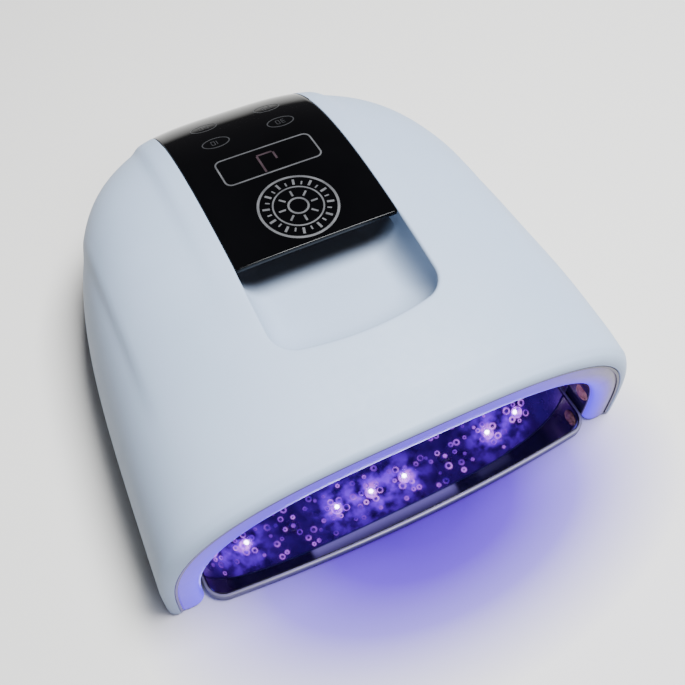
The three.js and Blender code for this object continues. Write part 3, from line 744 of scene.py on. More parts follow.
def slot_path():
    """The slot's outline behind the recess, from its left side round the back to its right side."""
    corner = 1.5
    back_y = PANEL_BACK_Y + 0.3
    left = [(-SLOT_HALF_WIDTH, y) for y in spread(PANEL_FRONT_Y, back_y - corner, 70)[1:]]
    left += arc((corner - SLOT_HALF_WIDTH, back_y - corner), corner, corner, math.pi, math.pi / 2, 5)[1:]
    back = [(x, back_y) for x in spread(left[-1][0], -left[-1][0], 38)[1:-1]]
    return left + back + mirrored(left)


def outline_normals(points):
    """Unit vectors in the plan that point away from the hole, for a closed outline."""
    area = sum(a[0] * b[1] - b[0] * a[1] for a, b in zip(points, points[1:] + points[:1]))
    side = 1 if area > 0 else -1
    normals = []
    for i in range(len(points)):
        before, after = Vector(points[i - 1]), Vector(points[(i + 1) % len(points)])
        along = (after - before).normalized()
        normals.append(Vector((along.y, -along.x)) * side)
    return normals


def inside(point, polygon):
    x, y = point
    hit = False
    for (ax, ay), (bx, by) in zip(polygon, polygon[1:] + polygon[:1]):
        if (ay > y) != (by > y) and x < ax + (bx - ax) * (y - ay) / (by - ay):
            hit = not hit
    return hit


def crown_patch(form, rows_y, hole):
    """The crown's skin around the slot, meshed in plan and laid on the form."""
    ys = [y for y in rows_y if CROWN_FRONT_Y <= y <= CROWN_BACK_Y]
    xs = spread(-CROWN_HALF, CROWN_HALF, 2 * MID_COLUMNS - 1)
    border = [(x, ys[0]) for x in xs] + [(CROWN_HALF, y) for y in ys[1:]]
    border += [(x, ys[-1]) for x in reversed(xs[:-1])] + [(-CROWN_HALF, y) for y in reversed(ys[1:-1])]
    near = [Vector(point) for point in hole]
    grid = []
    for y in ys[1:-1]:
        for x in xs[1:-1]:
            clear = min((point - Vector((x, y))).length_squared for point in near) > 0.8
            if clear and not inside((x, y), hole):
                grid.append((x, y))
    points = [Vector(point) for point in border + hole + grid]
    count, gap = len(border), len(hole)
    edges = [(i, (i + 1) % count) for i in range(count)]
    edges += [(count + i, count + (i + 1) % gap) for i in range(gap)]
    flat, _, triangles, _, _, _ = delaunay_2d_cdt(points, edges, [], 0, 1e-6)
    indices = form.add_points([skin_point(x, y)[0] for x, y in flat])
    for triangle in triangles:
        middle = sum((flat[i] for i in triangle), Vector((0, 0))) / 3
        if not inside(middle, hole):
            form.face([indices[i] for i in triangle])


def add_shell(form, rows_y):
    """The skin from the curled lip to the back, open over the crown for the patch with the slot."""
    rows = [housing_row(y) for y in rows_y]
    curl = []
    steps = [(TUNNEL_BACK_Y - 13.5, 0.45), (LIP_Y + 0.9, 0.45), (LIP_Y + 0.35, 0.32), (LIP_Y + 0.08, 0.12)]
    for y, shrink in steps:
        arch = (LIP_HALF_WIDTH - shrink, LIP_HEIGHT - shrink, LIP_POWER)
        across = [arch_at(arch, arch_angle(arch, point.x, point.z)) for point in rows[0]]
        curl.append([Vector((x, y, max(z, BASE_Z))) for x, z in across])
    lines = [form.add_points(row) for row in curl + rows]
    all_ys = [LIP_Y - 9] * len(curl) + rows_y
    left = FLANK_COLUMNS - 1
    right = left + 2 * (MID_COLUMNS - 1)
    for one, two, y in zip(lines, lines[1:], all_ys):
        over_crown = CROWN_FRONT_Y - 0.01 <= y < CROWN_BACK_Y - 0.01
        for i in range(len(one) - 1):
            if not (over_crown and left <= i < right):
                form.face((one[i], one[i + 1], two[i + 1], two[i]))
    form.face(lines[-1])


def rounded_edge(outline):
    """Loops that round the skin over into the slot, and the hole they leave in the crown."""
    normals = outline_normals(outline)
    radii = [0.45 + 1.0 * ease(-y, 21.0, 27.0) for _, y in outline]
    stations = list(zip(outline, normals, radii))
    loops = []
    for step in range(FILLET_STEPS + 1):
        angle = math.pi / 2 * step / FILLET_STEPS
        loop = []
        for (x, y), away, radius in stations:
            out = radius * (1 - math.sin(angle))
            point, normal = skin_point(x + away.x * out, y + away.y * out)
            loop.append(point - normal * radius * (1 - math.cos(angle)))
        loops.append(loop)
    hole = [(x + away.x * radius, y + away.y * radius) for (x, y), away, radius in stations]
    return loops, hole


def add_slot_walls(form, outline, edge, first):
    """Walls of the slot from its first point on, down past the panel's underside."""
    wall = list(range(first, len(outline))) + [0]
    deep = []
    for i in wall:
        point, normal = skin_point(*outline[i])
        deep.append(point - normal * (PANEL_THICKNESS + 0.6))
    form.strips([[edge[i] for i in wall], deep])


def add_bowl(form, edge, hidden):
    """The recess: rings that curve in from its rim, then shrink over the floor."""
    rim = list(edge)
    for x, y in hidden:
        point, normal = skin_point(x, y)
        rim.append(point - normal * 4.8)
    bowl = []
    for angle in spread(0.0, math.pi / 2, 15):
        front, back = recess_outline(RECESS_BOWL * (1 - math.cos(angle)))
        level = 1 - math.sin(angle)
        loop = []
        for (x, y), top in zip(front + back, rim):
            loop.append(Vector((x, y, RECESS_FLOOR_Z + (top.z - RECESS_FLOOR_Z) * level)))
        bowl.append(loop)
    bowl[0] = rim
    floor = bowl[-1]
    center = sum(floor, Vector()) / len(floor)
    bowl += [[center + (point - center) * share for point in floor] for share in (0.8, 0.6, 0.4, 0.2, 0.05)]
    form.face(form.strips(bowl, wrap=True)[-1])


def port_outline():
    return rounded_rect(PORT_HALF_WIDTH, PORT_HALF_HEIGHT, 4.0, middle=(0.0, PORT_Z))


def make_housing():
    form = Form()
    rows_y = housing_rows_y()
    add_shell(form, rows_y)
    seen, hidden = recess_outline(0.0)
    outline = seen + slot_path()
    loops, hole = rounded_edge(outline)
    crown_patch(form, rows_y, hole)
    form.strips(loops, wrap=True)
    add_slot_walls(form, outline, loops[-1], len(seen) - 1)
    add_bowl(form, loops[-1][: len(seen)], hidden)

    mesh = form.mesh("upper_housing_skin", merge=0.02)
    turn_out(mesh, max(mesh.polygons, key=lambda polygon: polygon.center.z), (0, 0, 1))
    piece = link("upper_housing_skin", mesh)
    solidify(piece, SKIN)
    cut(piece, prism(port_outline(), PORT_FLOOR_Y - 12, 140, axis="y"))
    # The housing's white carries a painted shadow in the recess under the panel.
    finish_piece(piece, "lined_white", slot="soft_white", stands_for=["upper_housing"], sharp=32)


def make_port():
    """The flat floor of the rear port, and the walls that run out to the rounded back."""
    outline = port_outline()
    form = Form()
    rim = [(x, max(skin_y(x, z) - 0.15, PORT_FLOOR_Y + 0.2), z) for x, z in outline]
    floor = [(x, PORT_FLOOR_Y, z) for x, z in outline]
    lines = form.strips([rim, floor], wrap=True)
    form.face(lines[-1])
    mesh = form.mesh("rear_port")
    turn_out(mesh, max(mesh.polygons, key=lambda polygon: polygon.area), (0, 1, 0))
    piece = link("rear_port", mesh)
    solidify(piece, 1.4)
    jack_hole = ellipse(JACK_HOLE_RADIUS, JACK_HOLE_RADIUS, middle=(JACK_X, PORT_Z))
    switch_hole = rounded_rect(6.9, 4.7, 0.6, middle=(SWITCH_X, PORT_Z))
    for hole in (jack_hole, switch_hole):
        cut(piece, prism(hole, PORT_FLOOR_Y - 9, 130, axis="y"))
    finish_piece(piece, "soft_white")


# ------------------------------------------------------------------ touch panel and its prints
def sheet(half_width, columns, rows_y, depth):
    """A sheet parallel to the crown's skin, at a depth below it."""
    form = Form()
    rows = []
    for y in rows_y:
        row = []
        for x in spread(-half_width, half_width, columns):
            point, normal = skin_point(x, y)
            row.append(point - normal * depth)
        rows.append(row)
    form.strips(rows)
    return form


def make_panel():
    ys = spread(PANEL_FRONT_Y, 70.0, 48) + spread(71.2, PANEL_BACK_Y, 24)
    mesh = sheet(PANEL_HALF_WIDTH, 40, ys, 0.05).mesh("touch_panel_glass")
    turn_out(mesh, mesh.polygons[0], (0, 0, 1))
    panel = link("touch_panel_glass", mesh)
    solidify(panel, PANEL_THICKNESS)
    bevel(panel, 0.35)
    finish_piece(panel, "black_gloss", stands_for=["touch_panel"], sharp=50)

    seat_ys = spread(PANEL_FRONT_Y + 2, 70.0, 34) + spread(72.0, PANEL_BACK_Y + 1, 16)
    mesh = sheet(SLOT_HALF_WIDTH + 1.2, 30, seat_ys, 2.9).mesh("panel_seat")
    turn_out(mesh, mesh.polygons[0], (0, 0, 1))
    seat = link("panel_seat", mesh)
    solidify(seat, 1.6)
    finish_piece(seat, "black_plastic")


def ribbon(form, path, width, closed=False):
    """A printed line of some width along a plan path, laid on the panel."""
    count = len(path)
    rows = [[], []]
    for i, point in enumerate(path):
        before = Vector(path[i - 1] if closed or i else point)
        after = Vector(path[(i + 1) % count] if closed or i + 1 < count else point)
        along = (after - before).normalized()
        across = Vector((along.y, -along.x)) * width / 2
        for row, side in zip(rows, (1, -1)):
            spot = Vector(point) + across * side
            place, normal = skin_point(spot.x, spot.y)
            row.append(place - normal * 0.03)
    form.strips(rows, wrap=closed)


def straight(start, end):
    steps = max(2, int((Vector(end) - Vector(start)).length / 1.5) + 1)
    return [tuple(Vector(start).lerp(Vector(end), i / (steps - 1))) for i in range(steps)]


SEGMENTS = {
    "a": ((0, 1), (1, 1)),
    "b": ((1, 1), (1, 0.5)),
    "c": ((1, 0.5), (1, 0)),
    "d": ((0, 0), (1, 0)),
    "e": ((0, 0.5), (0, 0)),
    "f": ((0, 1), (0, 0.5)),
    "g": ((0, 0.5), (1, 0.5)),
}
DIGIT_WIDTH = 0.3
DIGITS = {"0": "abcdef", "1": "bc", "3": "abcdg", "6": "acdefg", "9": "abcdfg"}


def digits(form, text, middle, height):
    """Seven-segment numbers, the right way up for someone behind the lamp."""
    advance = height * 0.85
    for index, character in enumerate(text):
        shift = (index - (len(text) - 1) / 2) * advance
        for key in DIGITS[character]:
            ends = []
            for u, v in SEGMENTS[key]:
                x = shift + (u - 0.5) * height * 0.5
                ends.append((middle[0] - x, middle[1] - (v - 0.5) * height))
            ribbon(form, straight(*ends), DIGIT_WIDTH)


def print_piece(name, form, material):
    """A thin raised layer of ink on the panel."""
    mesh = form.mesh(name, merge=1e-4)
    for polygon in mesh.polygons:
        if polygon.normal.z < 0:
            polygon.flip()
    piece = link(name, mesh)
    solidify(piece, 0.05, offset=1.0)
    finish_piece(piece, material, slot="display_grey")


def make_prints():
    outline = Form()
    window = rounded_rect(23.4, 9.0, 3.2, middle=(0.0, 30.5))
    path = []
    for a, b in zip(window, window[1:] + window[:1]):
        path += straight(a, b)[:-1] if (Vector(a) - Vector(b)).length > 2 else [a]
    ribbon(outline, path, 0.75, closed=True)
    print_piece("display_outline", outline, "print_grey")

    keys = Form()
    for x, y, text in [(-16.5, 54.7, "10"), (16.5, 54.7, "30"), (-16.5, 72.8, "60"), (16.5, 72.8, "99")]:
        ribbon(keys, ellipse(6.6, 4.1, middle=(x, y)), 0.55, closed=True)
        digits(keys, text, (x, y), 3.2)
    print_piece("key_marks", keys, "print_dim")

    readout = Form()
    for start, end in [((-4.2, 22.6), (-4.2, 34.2)), ((-4.2, 34.7), (3.4, 34.7)), ((3.7, 34.2), (3.7, 29.0))]:
        ribbon(readout, straight(start, end), 1.0)
    print_piece("display_readout", readout, "digit_dim")

    # A plain light symbol: three circles, with long and short rays between them.
    badge = Form()
    middle = (0.0, -2.5)
    for radius, width in [(17.6, 1.1), (11.2, 0.7), (4.4, 0.9)]:
        ribbon(badge, ellipse(radius, radius, steps=80, middle=middle), width, closed=True)
    rays = [(2 * math.pi * i / 24, 12.6, 15.8 if i % 2 else 14.6, 1.1 if i % 2 else 0.7) for i in range(24)]
    rays += [(2 * math.pi * i / 8, 6.0, 9.2, 0.9) for i in range(8)]
    for angle, inner, outer, width in rays:
        ends = [(middle[0] + r * math.cos(angle), middle[1] + r * math.sin(angle)) for r in (inner, outer)]
        ribbon(badge, straight(*ends), width)
    print_piece("light_symbol", badge, "print_grey")


# ------------------------------------------------------------------ front ring
def make_ring():
    half, height, power = RING_OUTSIDE
    half -= RING_INSET
    height -= RING_INSET
    inner_half, inner_height, inner_power = OPENING

    def between(share):
        """An outline part of the way from the ring's outside to the opening."""
        edges = zip((half, height, power), OPENING)
        return tuple(outer + (inner - outer) * share for outer, inner in edges)

    wall = (inner_half + RING_WALL, inner_height + RING_WALL, inner_power)
    seal = (RING_OUTSIDE[0] + SEAL_REACH, RING_OUTSIDE[1] + SEAL_REACH, power)
    face_y = RING_FRONT_Y + 0.1
    section = [(seal, RING_BACK_Y), (seal, face_y - 0.1), (between(0.0), face_y - 0.1)]
    section += [(between(0.0), face_y + 0.7), (between(0.05), face_y + 0.35), (between(0.12), face_y + 0.15)]
    section += [(between(0.3), face_y), (between(0.52), face_y)]
    for turn in spread(0.0, math.pi / 2, 9)[1:]:
        share = 0.52 + 0.48 * math.sin(turn)
        section.append((between(share), face_y + 3.6 * (1 - math.cos(turn))))
    tunnel_start = len(section)
    section += [(OPENING, y) for y in spread(RING_BACK_Y - 0.2, TUNNEL_BACK_Y, 12)]
    section += [(wall, TUNNEL_BACK_Y), (wall, RING_BACK_Y)]
    form = Form()
    rows = [arch_row(arch, y, 150, BASE_Z) for arch, y in section]
    marks = [1 if i < 3 or tunnel_start <= i < tunnel_start + 12 else 0 for i in range(len(rows))]
    lines = form.strips(rows, loop=True, marks=marks)
    form.face([line[0] for line in lines])
    form.face([line[-1] for line in reversed(lines)])
    piece = form.piece("opening_ring")

    def glow(point):
        """Painted light: on the lip a bar across the crown and a short patch beside it, on the face a fade
        outwards from the opening that also fades over the right leg.
        """
        x, y, z = point
        if y > RING_BACK_Y - 0.1:
            bar = 1 - ease(abs(x), 40, 44)
            patch = 0.35 * ease(x, 53, 56) * (1 - ease(x, 72, 76))
            return (bar * (0.12 + 0.88 * ease(y, -106, -97)) + patch * ease(y, -104, -99)) * ease(z, 40, 55)
        reach = abs(x / inner_half) ** inner_power + abs(z / inner_height) ** inner_power
        near = 1 - ease(reach ** (1 / inner_power), 1.0, 1.115)
        return 0.85 * near + 0.55 * (1 - ease(x, 45, 105)) * (1 - near)

    set_glow(piece, glow)
    finish_piece(piece, "ring_white", "tunnel_dark", stands_for=["front_ring"])


# ------------------------------------------------------------------ reflector, lamps and dimples
def dome_arch(y):
    t = clamp((y - DOME_FRONT_Y) / DOME_LENGTH)
    half = OPENING[0] * math.sqrt(max(1e-6, 1 - t**DOME_PLAN_POWER))
    return half, OPENING[1] * math.sqrt(max(1e-6, 1 - t**DOME_SIDE_POWER)), OPENING[2]


def dome_point(x, y):
    """A point of the reflector's inner face, and the direction into the chamber."""
    point = Vector((x, y, arch_z(dome_arch(y), x)))
    return point, -outward(dome_arch, point)


def led_places():
    """Numbered as in the CAD: the crown's row from the left, then the left and the right shoulder."""
    places = []
    for row, y in enumerate(LED_ROWS_Y):
        xs = list(CROWN_LEDS_X)
        offsets = (-SHOULDER_LED_OFFSET, SHOULDER_LED_OFFSET) if row < 2 else (-SHOULDER_LED_OFFSET,)
        for side in (-1, 1):
            xs += [side * (SHOULDER_X + offset * math.cos(SHOULDER_TILT)) for offset in offsets]
        places += [(x, y) for x in xs]
    return places


def is_dim(x):
    """The outer lamps of the crown are of a second kind that hardly shows when it is on."""
    return abs(x) == CROWN_LEDS_X[-1]


def frame_at(point, normal):
    """A turn and shift that puts local +Z along a normal."""
    return Matrix.Translation(point) @ normal.to_track_quat("Z", "Y").to_matrix().to_4x4()


def make_dome():
    shares = spread(0.0, 0.9, 96)[:-1]
    shares += [1 - (math.sqrt(0.1) * (1 - i / 34)) ** 2 for i in range(32)]
    form = Form()
    rows = []
    for t in shares:
        y = DOME_FRONT_Y + t * DOME_LENGTH
        rows.append(arch_row(dome_arch(y), y, 171, DOME_FOOT_Z))
    lines = form.strips(rows)
    form.face(lines[-1])
    mesh = form.mesh("reflector_shell")
    overhead = min(mesh.polygons, key=lambda polygon: abs(polygon.center.x) + abs(polygon.center.y))
    turn_out(mesh, overhead, (0, 0, -1))
    piece = link("reflector_shell", mesh)
    solidify(piece, DOME_WALL)

    cutters = Form()
    for x, y in led_places():
        turn = frame_at(*dome_point(x, y))
        rings = turned_rows([(LAMP_HOLE_RADIUS, -4), (LAMP_HOLE_RADIUS, 4)], 28)
        ends = cutters.strips([[turn @ Vector(spot) for spot in ring] for ring in rings], wrap=True)
        cutters.face(reversed(ends[0]))
        cutters.face(ends[1])
    cut(piece, cutters)

    leds = [dome_point(x, y)[0] for x, y in led_places() if not is_dim(x)]

    def glow(point):
        """Painted light: a tight pool and a wide one round every lit lamp, fading down the chamber's sides.
        """
        total = 0.0
        for spot in leds:
            distance = (point - spot).length
            total += 1.25 * math.exp(-distance / 3.8) + 0.18 * math.exp(-((distance / 18) ** 2))
        return total * (1 - ease(abs(point.x), 78, 95)) * ease(point.z, 14, 40)

    set_glow(piece, glow)
    finish_piece(piece, "reflector_silver", stands_for=["reflector_dome"], sharp=40)


def make_leds():
    """Lamp beads: a domed lens with a small bright emitter in its middle."""
    for index, (x, y) in enumerate(led_places()):
        lens = [(0.0, -3.0), (LENS_RADIUS, -3.0)]
        lens += arc((CORE_RADIUS, 0.1), LENS_RADIUS - CORE_RADIUS, 1.6, 0.0, math.pi / 2, 8)
        form = lathe(lens, 28)
        core = [(CORE_RADIUS, 1.7), (1.15, 1.78), (0.7, 1.86), (0.0, 1.9)]
        form.strips(turned_rows(core, 28), wrap=True, mark=1)
        form.place(frame_at(*dome_point(x, y)))
        name = f"led_{index + 1:02d}"
        kinds = ["dim_lens", "dimple_far"] if is_dim(x) else ["led_lens", "led_core"]
        finish_piece(form.piece(f"{name}_bead"), *kinds, slot="led_lens", stands_for=[name])


def torus_into(form, turn, major, minor, sides=16, around=6):
    """Adds a small ring to the form, lying in the turned plane."""
    rows = []
    for across, along in ellipse(1.0, 1.0, sides):
        section = ellipse(minor, minor, around, middle=(major, 0.0))
        rows.append([turn @ Vector((reach * across, reach * along, rise)) for reach, rise in section])
    form.strips(rows, wrap=True, loop=True)


LOOSE_RINGS = 420


def make_dimples():
    """Raised rings in the reflector with a painted violet glow: a flower of them round every lamp, and loose
    ones between.
    """
    rng = random.Random(7)
    near, far = Form(), Form()
    places = led_places()
    for x, y in places:
        turn = frame_at(*dome_point(x, y))
        start = rng.uniform(0, 1)
        petals = 3 if is_dim(x) else 6
        for index in range(petals):
            angle = 2 * math.pi * (index + start + rng.uniform(-0.2, 0.2)) / petals
            reach = rng.uniform(4.2, 6.2)
            spot = turn @ Vector((reach * math.cos(angle), reach * math.sin(angle), 0))
            over = frame_at(*dome_point(spot.x, spot.y))
            torus_into(near, over, rng.uniform(0.8, 1.7), rng.uniform(0.25, 0.5))
    kept = []
    while len(kept) < LOOSE_RINGS:
        x, y = rng.uniform(-90, 90), rng.uniform(-94.5, 60)
        clear = all(math.hypot(x - a, y - b) > 7.6 for a, b in places)
        apart = all(math.hypot(x - a, y - b) > 3.0 for a, b in kept)
        place, inward = dome_point(x, y)
        if clear and apart and place.z > 12:
            kept.append((x, y))
            torus_into(far, frame_at(place, inward), rng.uniform(0.5, 1.5), rng.uniform(0.25, 0.55))
    for name, form, material in [("lamp_rings", near, "dimple_near"), ("loose_rings", far, "dimple_far")]:
        finish_piece(form.piece(name, merge=1e-5), material, slot="led_lens")


# ------------------------------------------------------------------ sensors
def make_sensors():
    for side, word in [(-1, "left"), (1, "right")]:
        name = f"hand_sensor_{word}"
        low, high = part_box(name)
        middle = (low + high) / 2 / MM
        radius = (high.z - low.z) / 2 / MM
        tip_x = (low.x if side > 0 else high.x) / MM
        profile = [(0.0, -6.0), (radius, -6.0), (radius, 0.0), (radius - 0.3, 0.35), (radius - 1.0, 0.35)]
        bulge = radius - 1.2
        profile += arc((0.0, 0.1), bulge, 0.9, 0.0, math.pi / 2, 8)
        form = lathe(profile, 40)
        form.place(frame_at(Vector((tip_x + side * 0.6, middle.y, middle.z)), Vector((-side, 0, 0))))
        finish_piece(form.piece(f"{name}_lens"), "amber_lens", stands_for=[name])


# ------------------------------------------------------------------ tray
def tray_outline(margin):
    """The tray's plan, set in by a margin: bowed front, round corners, and a back that follows the dome."""
    half = TRAY_HALF_WIDTH - margin
    corner = TRAY_CORNER - margin
    corner_x = half - corner

    def front(x):
        return TRAY_FRONT_Y + margin + TRAY_BOW * (x / 100) ** 2

    points = [(x, front(x)) for x in spread(-corner_x, corner_x, 61)]
    turn = arc((corner_x, front(corner_x) + corner), corner, corner, -math.pi / 2, 0.0, 15)
    back = []
    for t in spread(0.12, 0.8, 28) + [1 - (math.sqrt(0.2) * (1 - i / 22)) ** 2 for i in range(1, 22)]:
        across = half * math.sqrt(1 - t**DOME_PLAN_POWER)
        back.append((across, DOME_FRONT_Y + t * (DOME_LENGTH - 1 - margin)))
    return points + turn[1:] + back + mirrored(back) + mirrored(turn)[:-1]


def make_tray():
    form = Form()
    levels = [
        (0.9, TRAY_BOTTOM_Z),
        (0.3, TRAY_BOTTOM_Z + 0.15),
        (0.0, TRAY_BOTTOM_Z + 0.7),
        (0.0, TRAY_RIM_Z - 0.55),
        (0.14, TRAY_RIM_Z - 0.2),
        (0.45, TRAY_RIM_Z),
        (TRAY_RIM - 0.45, TRAY_RIM_Z),
        (TRAY_RIM - 0.14, TRAY_RIM_Z - 0.15),
        (TRAY_RIM, TRAY_RIM_Z - 0.5),
        (TRAY_RIM, TRAY_FLOOR_Z),
    ]
    rim_marks = [0, 0, 1, 1, 1, 1, 1, 0, 0]
    rows = [[(x, y, z) for x, y in tray_outline(margin)] for margin, z in levels]
    lines = form.strips(rows, wrap=True, marks=rim_marks)
    form.face(reversed(lines[0]))
    form.face(lines[-1])
    shell = form.piece("tray_shell")
    finish_piece(shell, "black_plastic", "rim_satin", body="tray", stands_for=["tray_base"], sharp=50)

    low_z, high_z = (corner.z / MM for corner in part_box("tray_mirror"))
    mirror = prism(tray_outline(TRAY_RIM + 0.3), low_z, high_z).piece("tray_mirror_plate")
    bevel(mirror, 0.15, segments=2, angle=60)
    finish_piece(mirror, "mirror_steel", body="tray", stands_for=["tray_mirror"], sharp=20)


# ------------------------------------------------------------------ rear port pieces, feet and screws
def make_jack():
    """The centre pin, and the barrel round it with a turned-over mouth."""
    pin = [(0.0, -0.5), (0.6, -0.6), (0.95, -1.4), (0.95, -11.0)]
    barrel = [(3.1, -10.9), (3.1, 0.55), (3.3, 0.8), (4.0, 0.8), (4.2, 0.55), (4.2, -7.0), (4.2, -11.6)]
    form = lathe(pin + barrel + [(0.0, -11.6)], 40)
    form.place(frame_at(Vector((JACK_X, PORT_FLOOR_Y, PORT_Z)), Vector((0, 1, 0))))
    finish_piece(form.piece("dc_jack_socket"), "black_plastic", stands_for=["dc_jack"])


def switch_rect(half_u, half_v, corner):
    return rounded_rect(half_u, half_v, corner, middle=(SWITCH_X, PORT_Z))


def make_switch():
    """The switch's frame, from its neck behind the port's floor out to its rim and down the well."""
    outer = switch_rect(7.6, 5.4, 1.2)
    well = switch_rect(6.0, 3.9, 0.5)
    shrunk = switch_rect(7.3, 5.1, 1.0)
    neck = switch_rect(6.6, 4.4, 0.5)
    rows = [(neck, 104.0), (neck, PORT_FLOOR_Y + 0.1)]
    rows += [(outer, PORT_FLOOR_Y + 0.1), (outer, PORT_FLOOR_Y + 1.3), (shrunk, PORT_FLOOR_Y + 1.6)]
    rows += [(well, PORT_FLOOR_Y + 1.6), (well, PIVOT_Y - 4.5)]
    form = Form()
    lines = form.strips([[(x, y, z) for x, z in outline] for outline, y in rows], wrap=True)
    form.face(lines[0])
    form.face(reversed(lines[-1]))
    finish_piece(form.piece("switch_bezel"), "switch_black", stands_for=["switch_body"], sharp=40)


def make_rocker():
    """The key: a hollow face, and two sides that taper to its pivot."""
    half = 5.4
    face = [(x, 0.6 + 1.8 * (x / half) ** 2) for x in spread(half, -half, 21)]
    outline = [(-half, -1.8), (0.0, -3.2), (half, -1.8)] + face
    form = Form()
    turn = Matrix.Translation((SWITCH_X, PIVOT_Y, PORT_Z)) @ Matrix.Rotation(ROCKER_REST, 4, "Z")
    rings = form.strips([[turn @ Vector((x, y, z)) for x, y in outline] for z in (-3.6, 3.6)], wrap=True)
    form.face(reversed(rings[0]))
    form.face(rings[1])
    piece = form.piece("rocker_key")
    bevel(piece, 0.3, segments=3, angle=50)
    finish_piece(piece, "black_gloss", body="rocker", stands_for=["switch_rocker"], sharp=50)


def node_box(name):
    """Middle, half width and top of a CAD node, in millimetres."""
    low, high = (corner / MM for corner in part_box(name))
    return (low + high) / 2, (high.x - low.x) / 2, high.z


def make_foot(number):
    name = f"rubber_foot_{number}"
    middle, radius, top = node_box(name)
    sole = [(0.0, 0.0), (radius - 1.4, 0.0), (radius - 0.5, 0.25), (radius, 0.8)]
    form = lathe(sole + [(radius, top), (0.0, top)], 44)
    form.place(Matrix.Translation((middle.x, middle.y, 0)))
    finish_piece(form.piece(f"{name}_pad"), "rubber_grey", stands_for=[name], sharp=60)


def make_screw(number):
    """A pan-head screw from below, with a cross cut into its head."""
    name = f"casing_screw_{number}"
    middle, head, top = node_box(name)
    profile = [(0.0, 2.2), (head - 0.7, 2.2), (head - 0.2, 2.35), (head, 2.6), (head, 3.3), (1.5, 3.3)]
    form = lathe(profile + [(1.5, top - 0.6), (1.0, top), (0.0, top)], 36)
    form.place(Matrix.Translation((middle.x, middle.y, 0)))
    piece = form.piece(f"{name}_turned")
    arm, wide = 0.36 * head * 1.6, 0.3
    quarter = [(arm, wide), (wide, wide), (wide, arm)]
    upper = quarter + mirrored(quarter)
    cross = upper + [(-x, -y) for x, y in upper]
    cut(piece, prism([(x + middle.x, y + middle.y) for x, y in cross], 1.0, 2.75))
    finish_piece(piece, "nickel_steel", stands_for=[name], sharp=40)


def dress_cad_nodes():
    """The CAD nodes that stay visible take the finish of their slot in the record."""
    for entry in frame["record"]["subparts"]:
        node = frame["nodes"][entry["node"]]
        node.data.materials.clear()
        node.data.materials.append(MATERIALS[entry["material_slot"]])


# ------------------------------------------------------------------ stage
def floor_material():
    """A pale floor with a painted violet pool of light in front of the opening."""
    nodes = Nodes("pale_floor")
    glow = nodes.node("ShaderNodeTexGradient", gradient_type="SPHERICAL")
    mapping = nodes.node("ShaderNodeMapping", vector_type="TEXTURE")
    mapping.inputs["Location"].default_value = (0.004, -0.122, 0.0)
    mapping.inputs["Scale"].default_value = (0.135, 0.080, 1.0)
    nodes.wire(nodes.where, mapping.inputs["Vector"])
    nodes.wire(mapping.outputs["Vector"], glow.inputs["Vector"])
    # Painted pool of violet light: pale far off, deepening to violet near the opening.
    stops = [
        (0.0, (0.56, 0.54, 0.515)),
        (0.25, (0.32, 0.295, 0.445)),
        (0.43, (0.14, 0.10, 0.37)),
        (0.67, (0.055, 0.012, 0.27)),
        (0.85, (0.036, 0.0, 0.22)),
    ]
    nodes.wire(nodes.ramp(glow.outputs["Fac"], stops), nodes.shader.inputs["Base Color"])
    nodes.bump(nodes.noise(700.0), 0.03, 0.05)
    nodes.put(Roughness=0.6, Specular_IOR_Level=0.1)
    return nodes.material


def make_stage():
    bpy.ops.mesh.primitive_plane_add(size=8.0, location=(0, 0, 0))
    floor = bpy.context.object
    floor.name = "floor"
    floor.data.materials.append(floor_material())

    world = bpy.data.worlds.new("studio")
    bpy.context.scene.world = world
    world.use_nodes = True
    background = world.node_tree.nodes["Background"]
    background.inputs["Color"].default_value = (0.98, 0.94, 1.0, 1.0)
    background.inputs["Strength"].default_value = 0.10


def add_lamp(name, kind, place, energy, color, shown=False, **settings):
    """A light that the camera never sees. shown lets it appear in reflections."""
    data = bpy.data.lights.new(name, kind)
    data.energy = energy
    data.color = color
    for key, value in settings.items():
        setattr(data, key, value)
    lamp = bpy.data.objects.new(name, data)
    bpy.context.scene.collection.objects.link(lamp)
    lamp.location = place
    lamp.visible_camera = False
    lamp.visible_glossy = shown
    return lamp


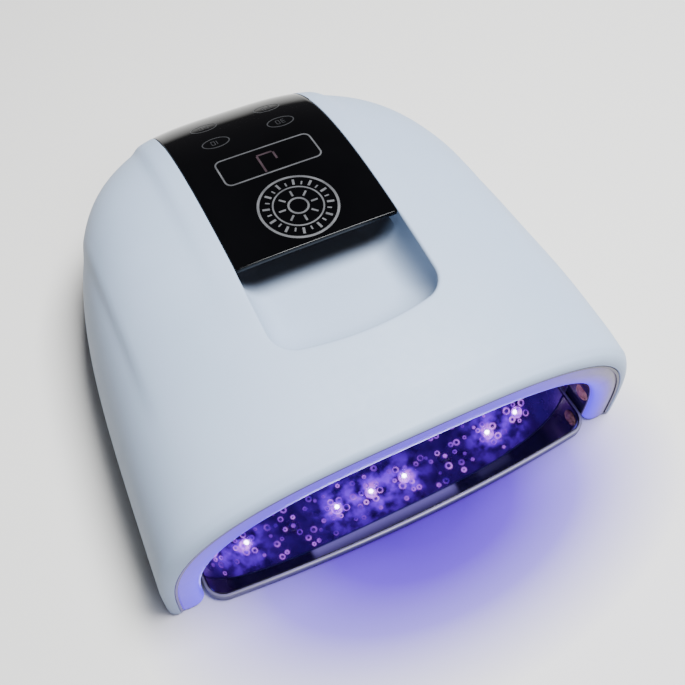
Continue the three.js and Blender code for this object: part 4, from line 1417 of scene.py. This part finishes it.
def add_area(name, place, target, size, energy, color, shown=True):
    """A rectangular light that faces its target."""
    width, length = size
    lamp = add_lamp(name, "AREA", place, energy, color, shown, shape="RECTANGLE", size=width, size_y=length)
    lamp.rotation_euler = (Vector(target) - Vector(place)).to_track_quat("-Z", "Y").to_euler()


def make_lights():
    add_area("top", (0.36, -0.12, 1.2), (0, 0, 0.03), (0.6, 0.45), 64, (0.95, 0.98, 1.0))
    add_area("front", (0.15, -0.95, 1.05), (0, 0, 0.03), (0.6, 0.45), 9, (0.76, 0.88, 1.0), shown=False)
    violet = (0.30, 0.16, 1.0)
    add_area("opening_glow", (0.0, -0.112, 0.050), (0.0, -0.19, 0.0), (0.17, 0.02), 0.06, violet, shown=False)
    for x in (-60, -20, 20, 60):
        place = (x * MM, -0.055, 0.03)
        add_lamp(f"chamber_{x}", "POINT", place, 0.035, (0.28, 0.05, 1.0), shadow_soft_size=0.012)


CAMERA_LENS = 44.98
CAMERA_TARGET = Vector((0.0, -0.0463, 0.0433))
CAMERA_DISTANCE = 0.3902
CAMERA_TURNS = (-26.8, 56.4, 0.63)  # azimuth, elevation and roll, in degrees


def make_camera():
    data = bpy.data.cameras.new("camera")
    data.lens = CAMERA_LENS
    data.sensor_width = 36.0
    data.clip_start = 0.01
    camera = bpy.data.objects.new("camera", data)
    bpy.context.scene.collection.objects.link(camera)
    azimuth, elevation, roll = (math.radians(angle) for angle in CAMERA_TURNS)
    back = Vector((
        math.sin(azimuth) * math.cos(elevation),
        -math.cos(azimuth) * math.cos(elevation),
        math.sin(elevation),
    ))
    right = Vector((math.cos(azimuth), math.sin(azimuth), 0.0))
    up = back.cross(right)
    rolled_right = math.cos(roll) * right + math.sin(roll) * up
    rolled_up = math.cos(roll) * up - math.sin(roll) * right
    turn = Matrix((rolled_right, rolled_up, back)).transposed()
    camera.matrix_world = Matrix.Translation(CAMERA_TARGET + back * CAMERA_DISTANCE) @ turn.to_4x4()
    bpy.context.scene.camera = camera


make_camera()
dress_cad_nodes()
make_housing()
make_port()
make_panel()
make_prints()
make_ring()
make_dome()
make_leds()
make_dimples()
make_sensors()
make_tray()
make_jack()
make_switch()
make_rocker()
for index in range(4):
    make_foot(index + 1)
    make_screw(index + 1)
make_stage()
make_lights()
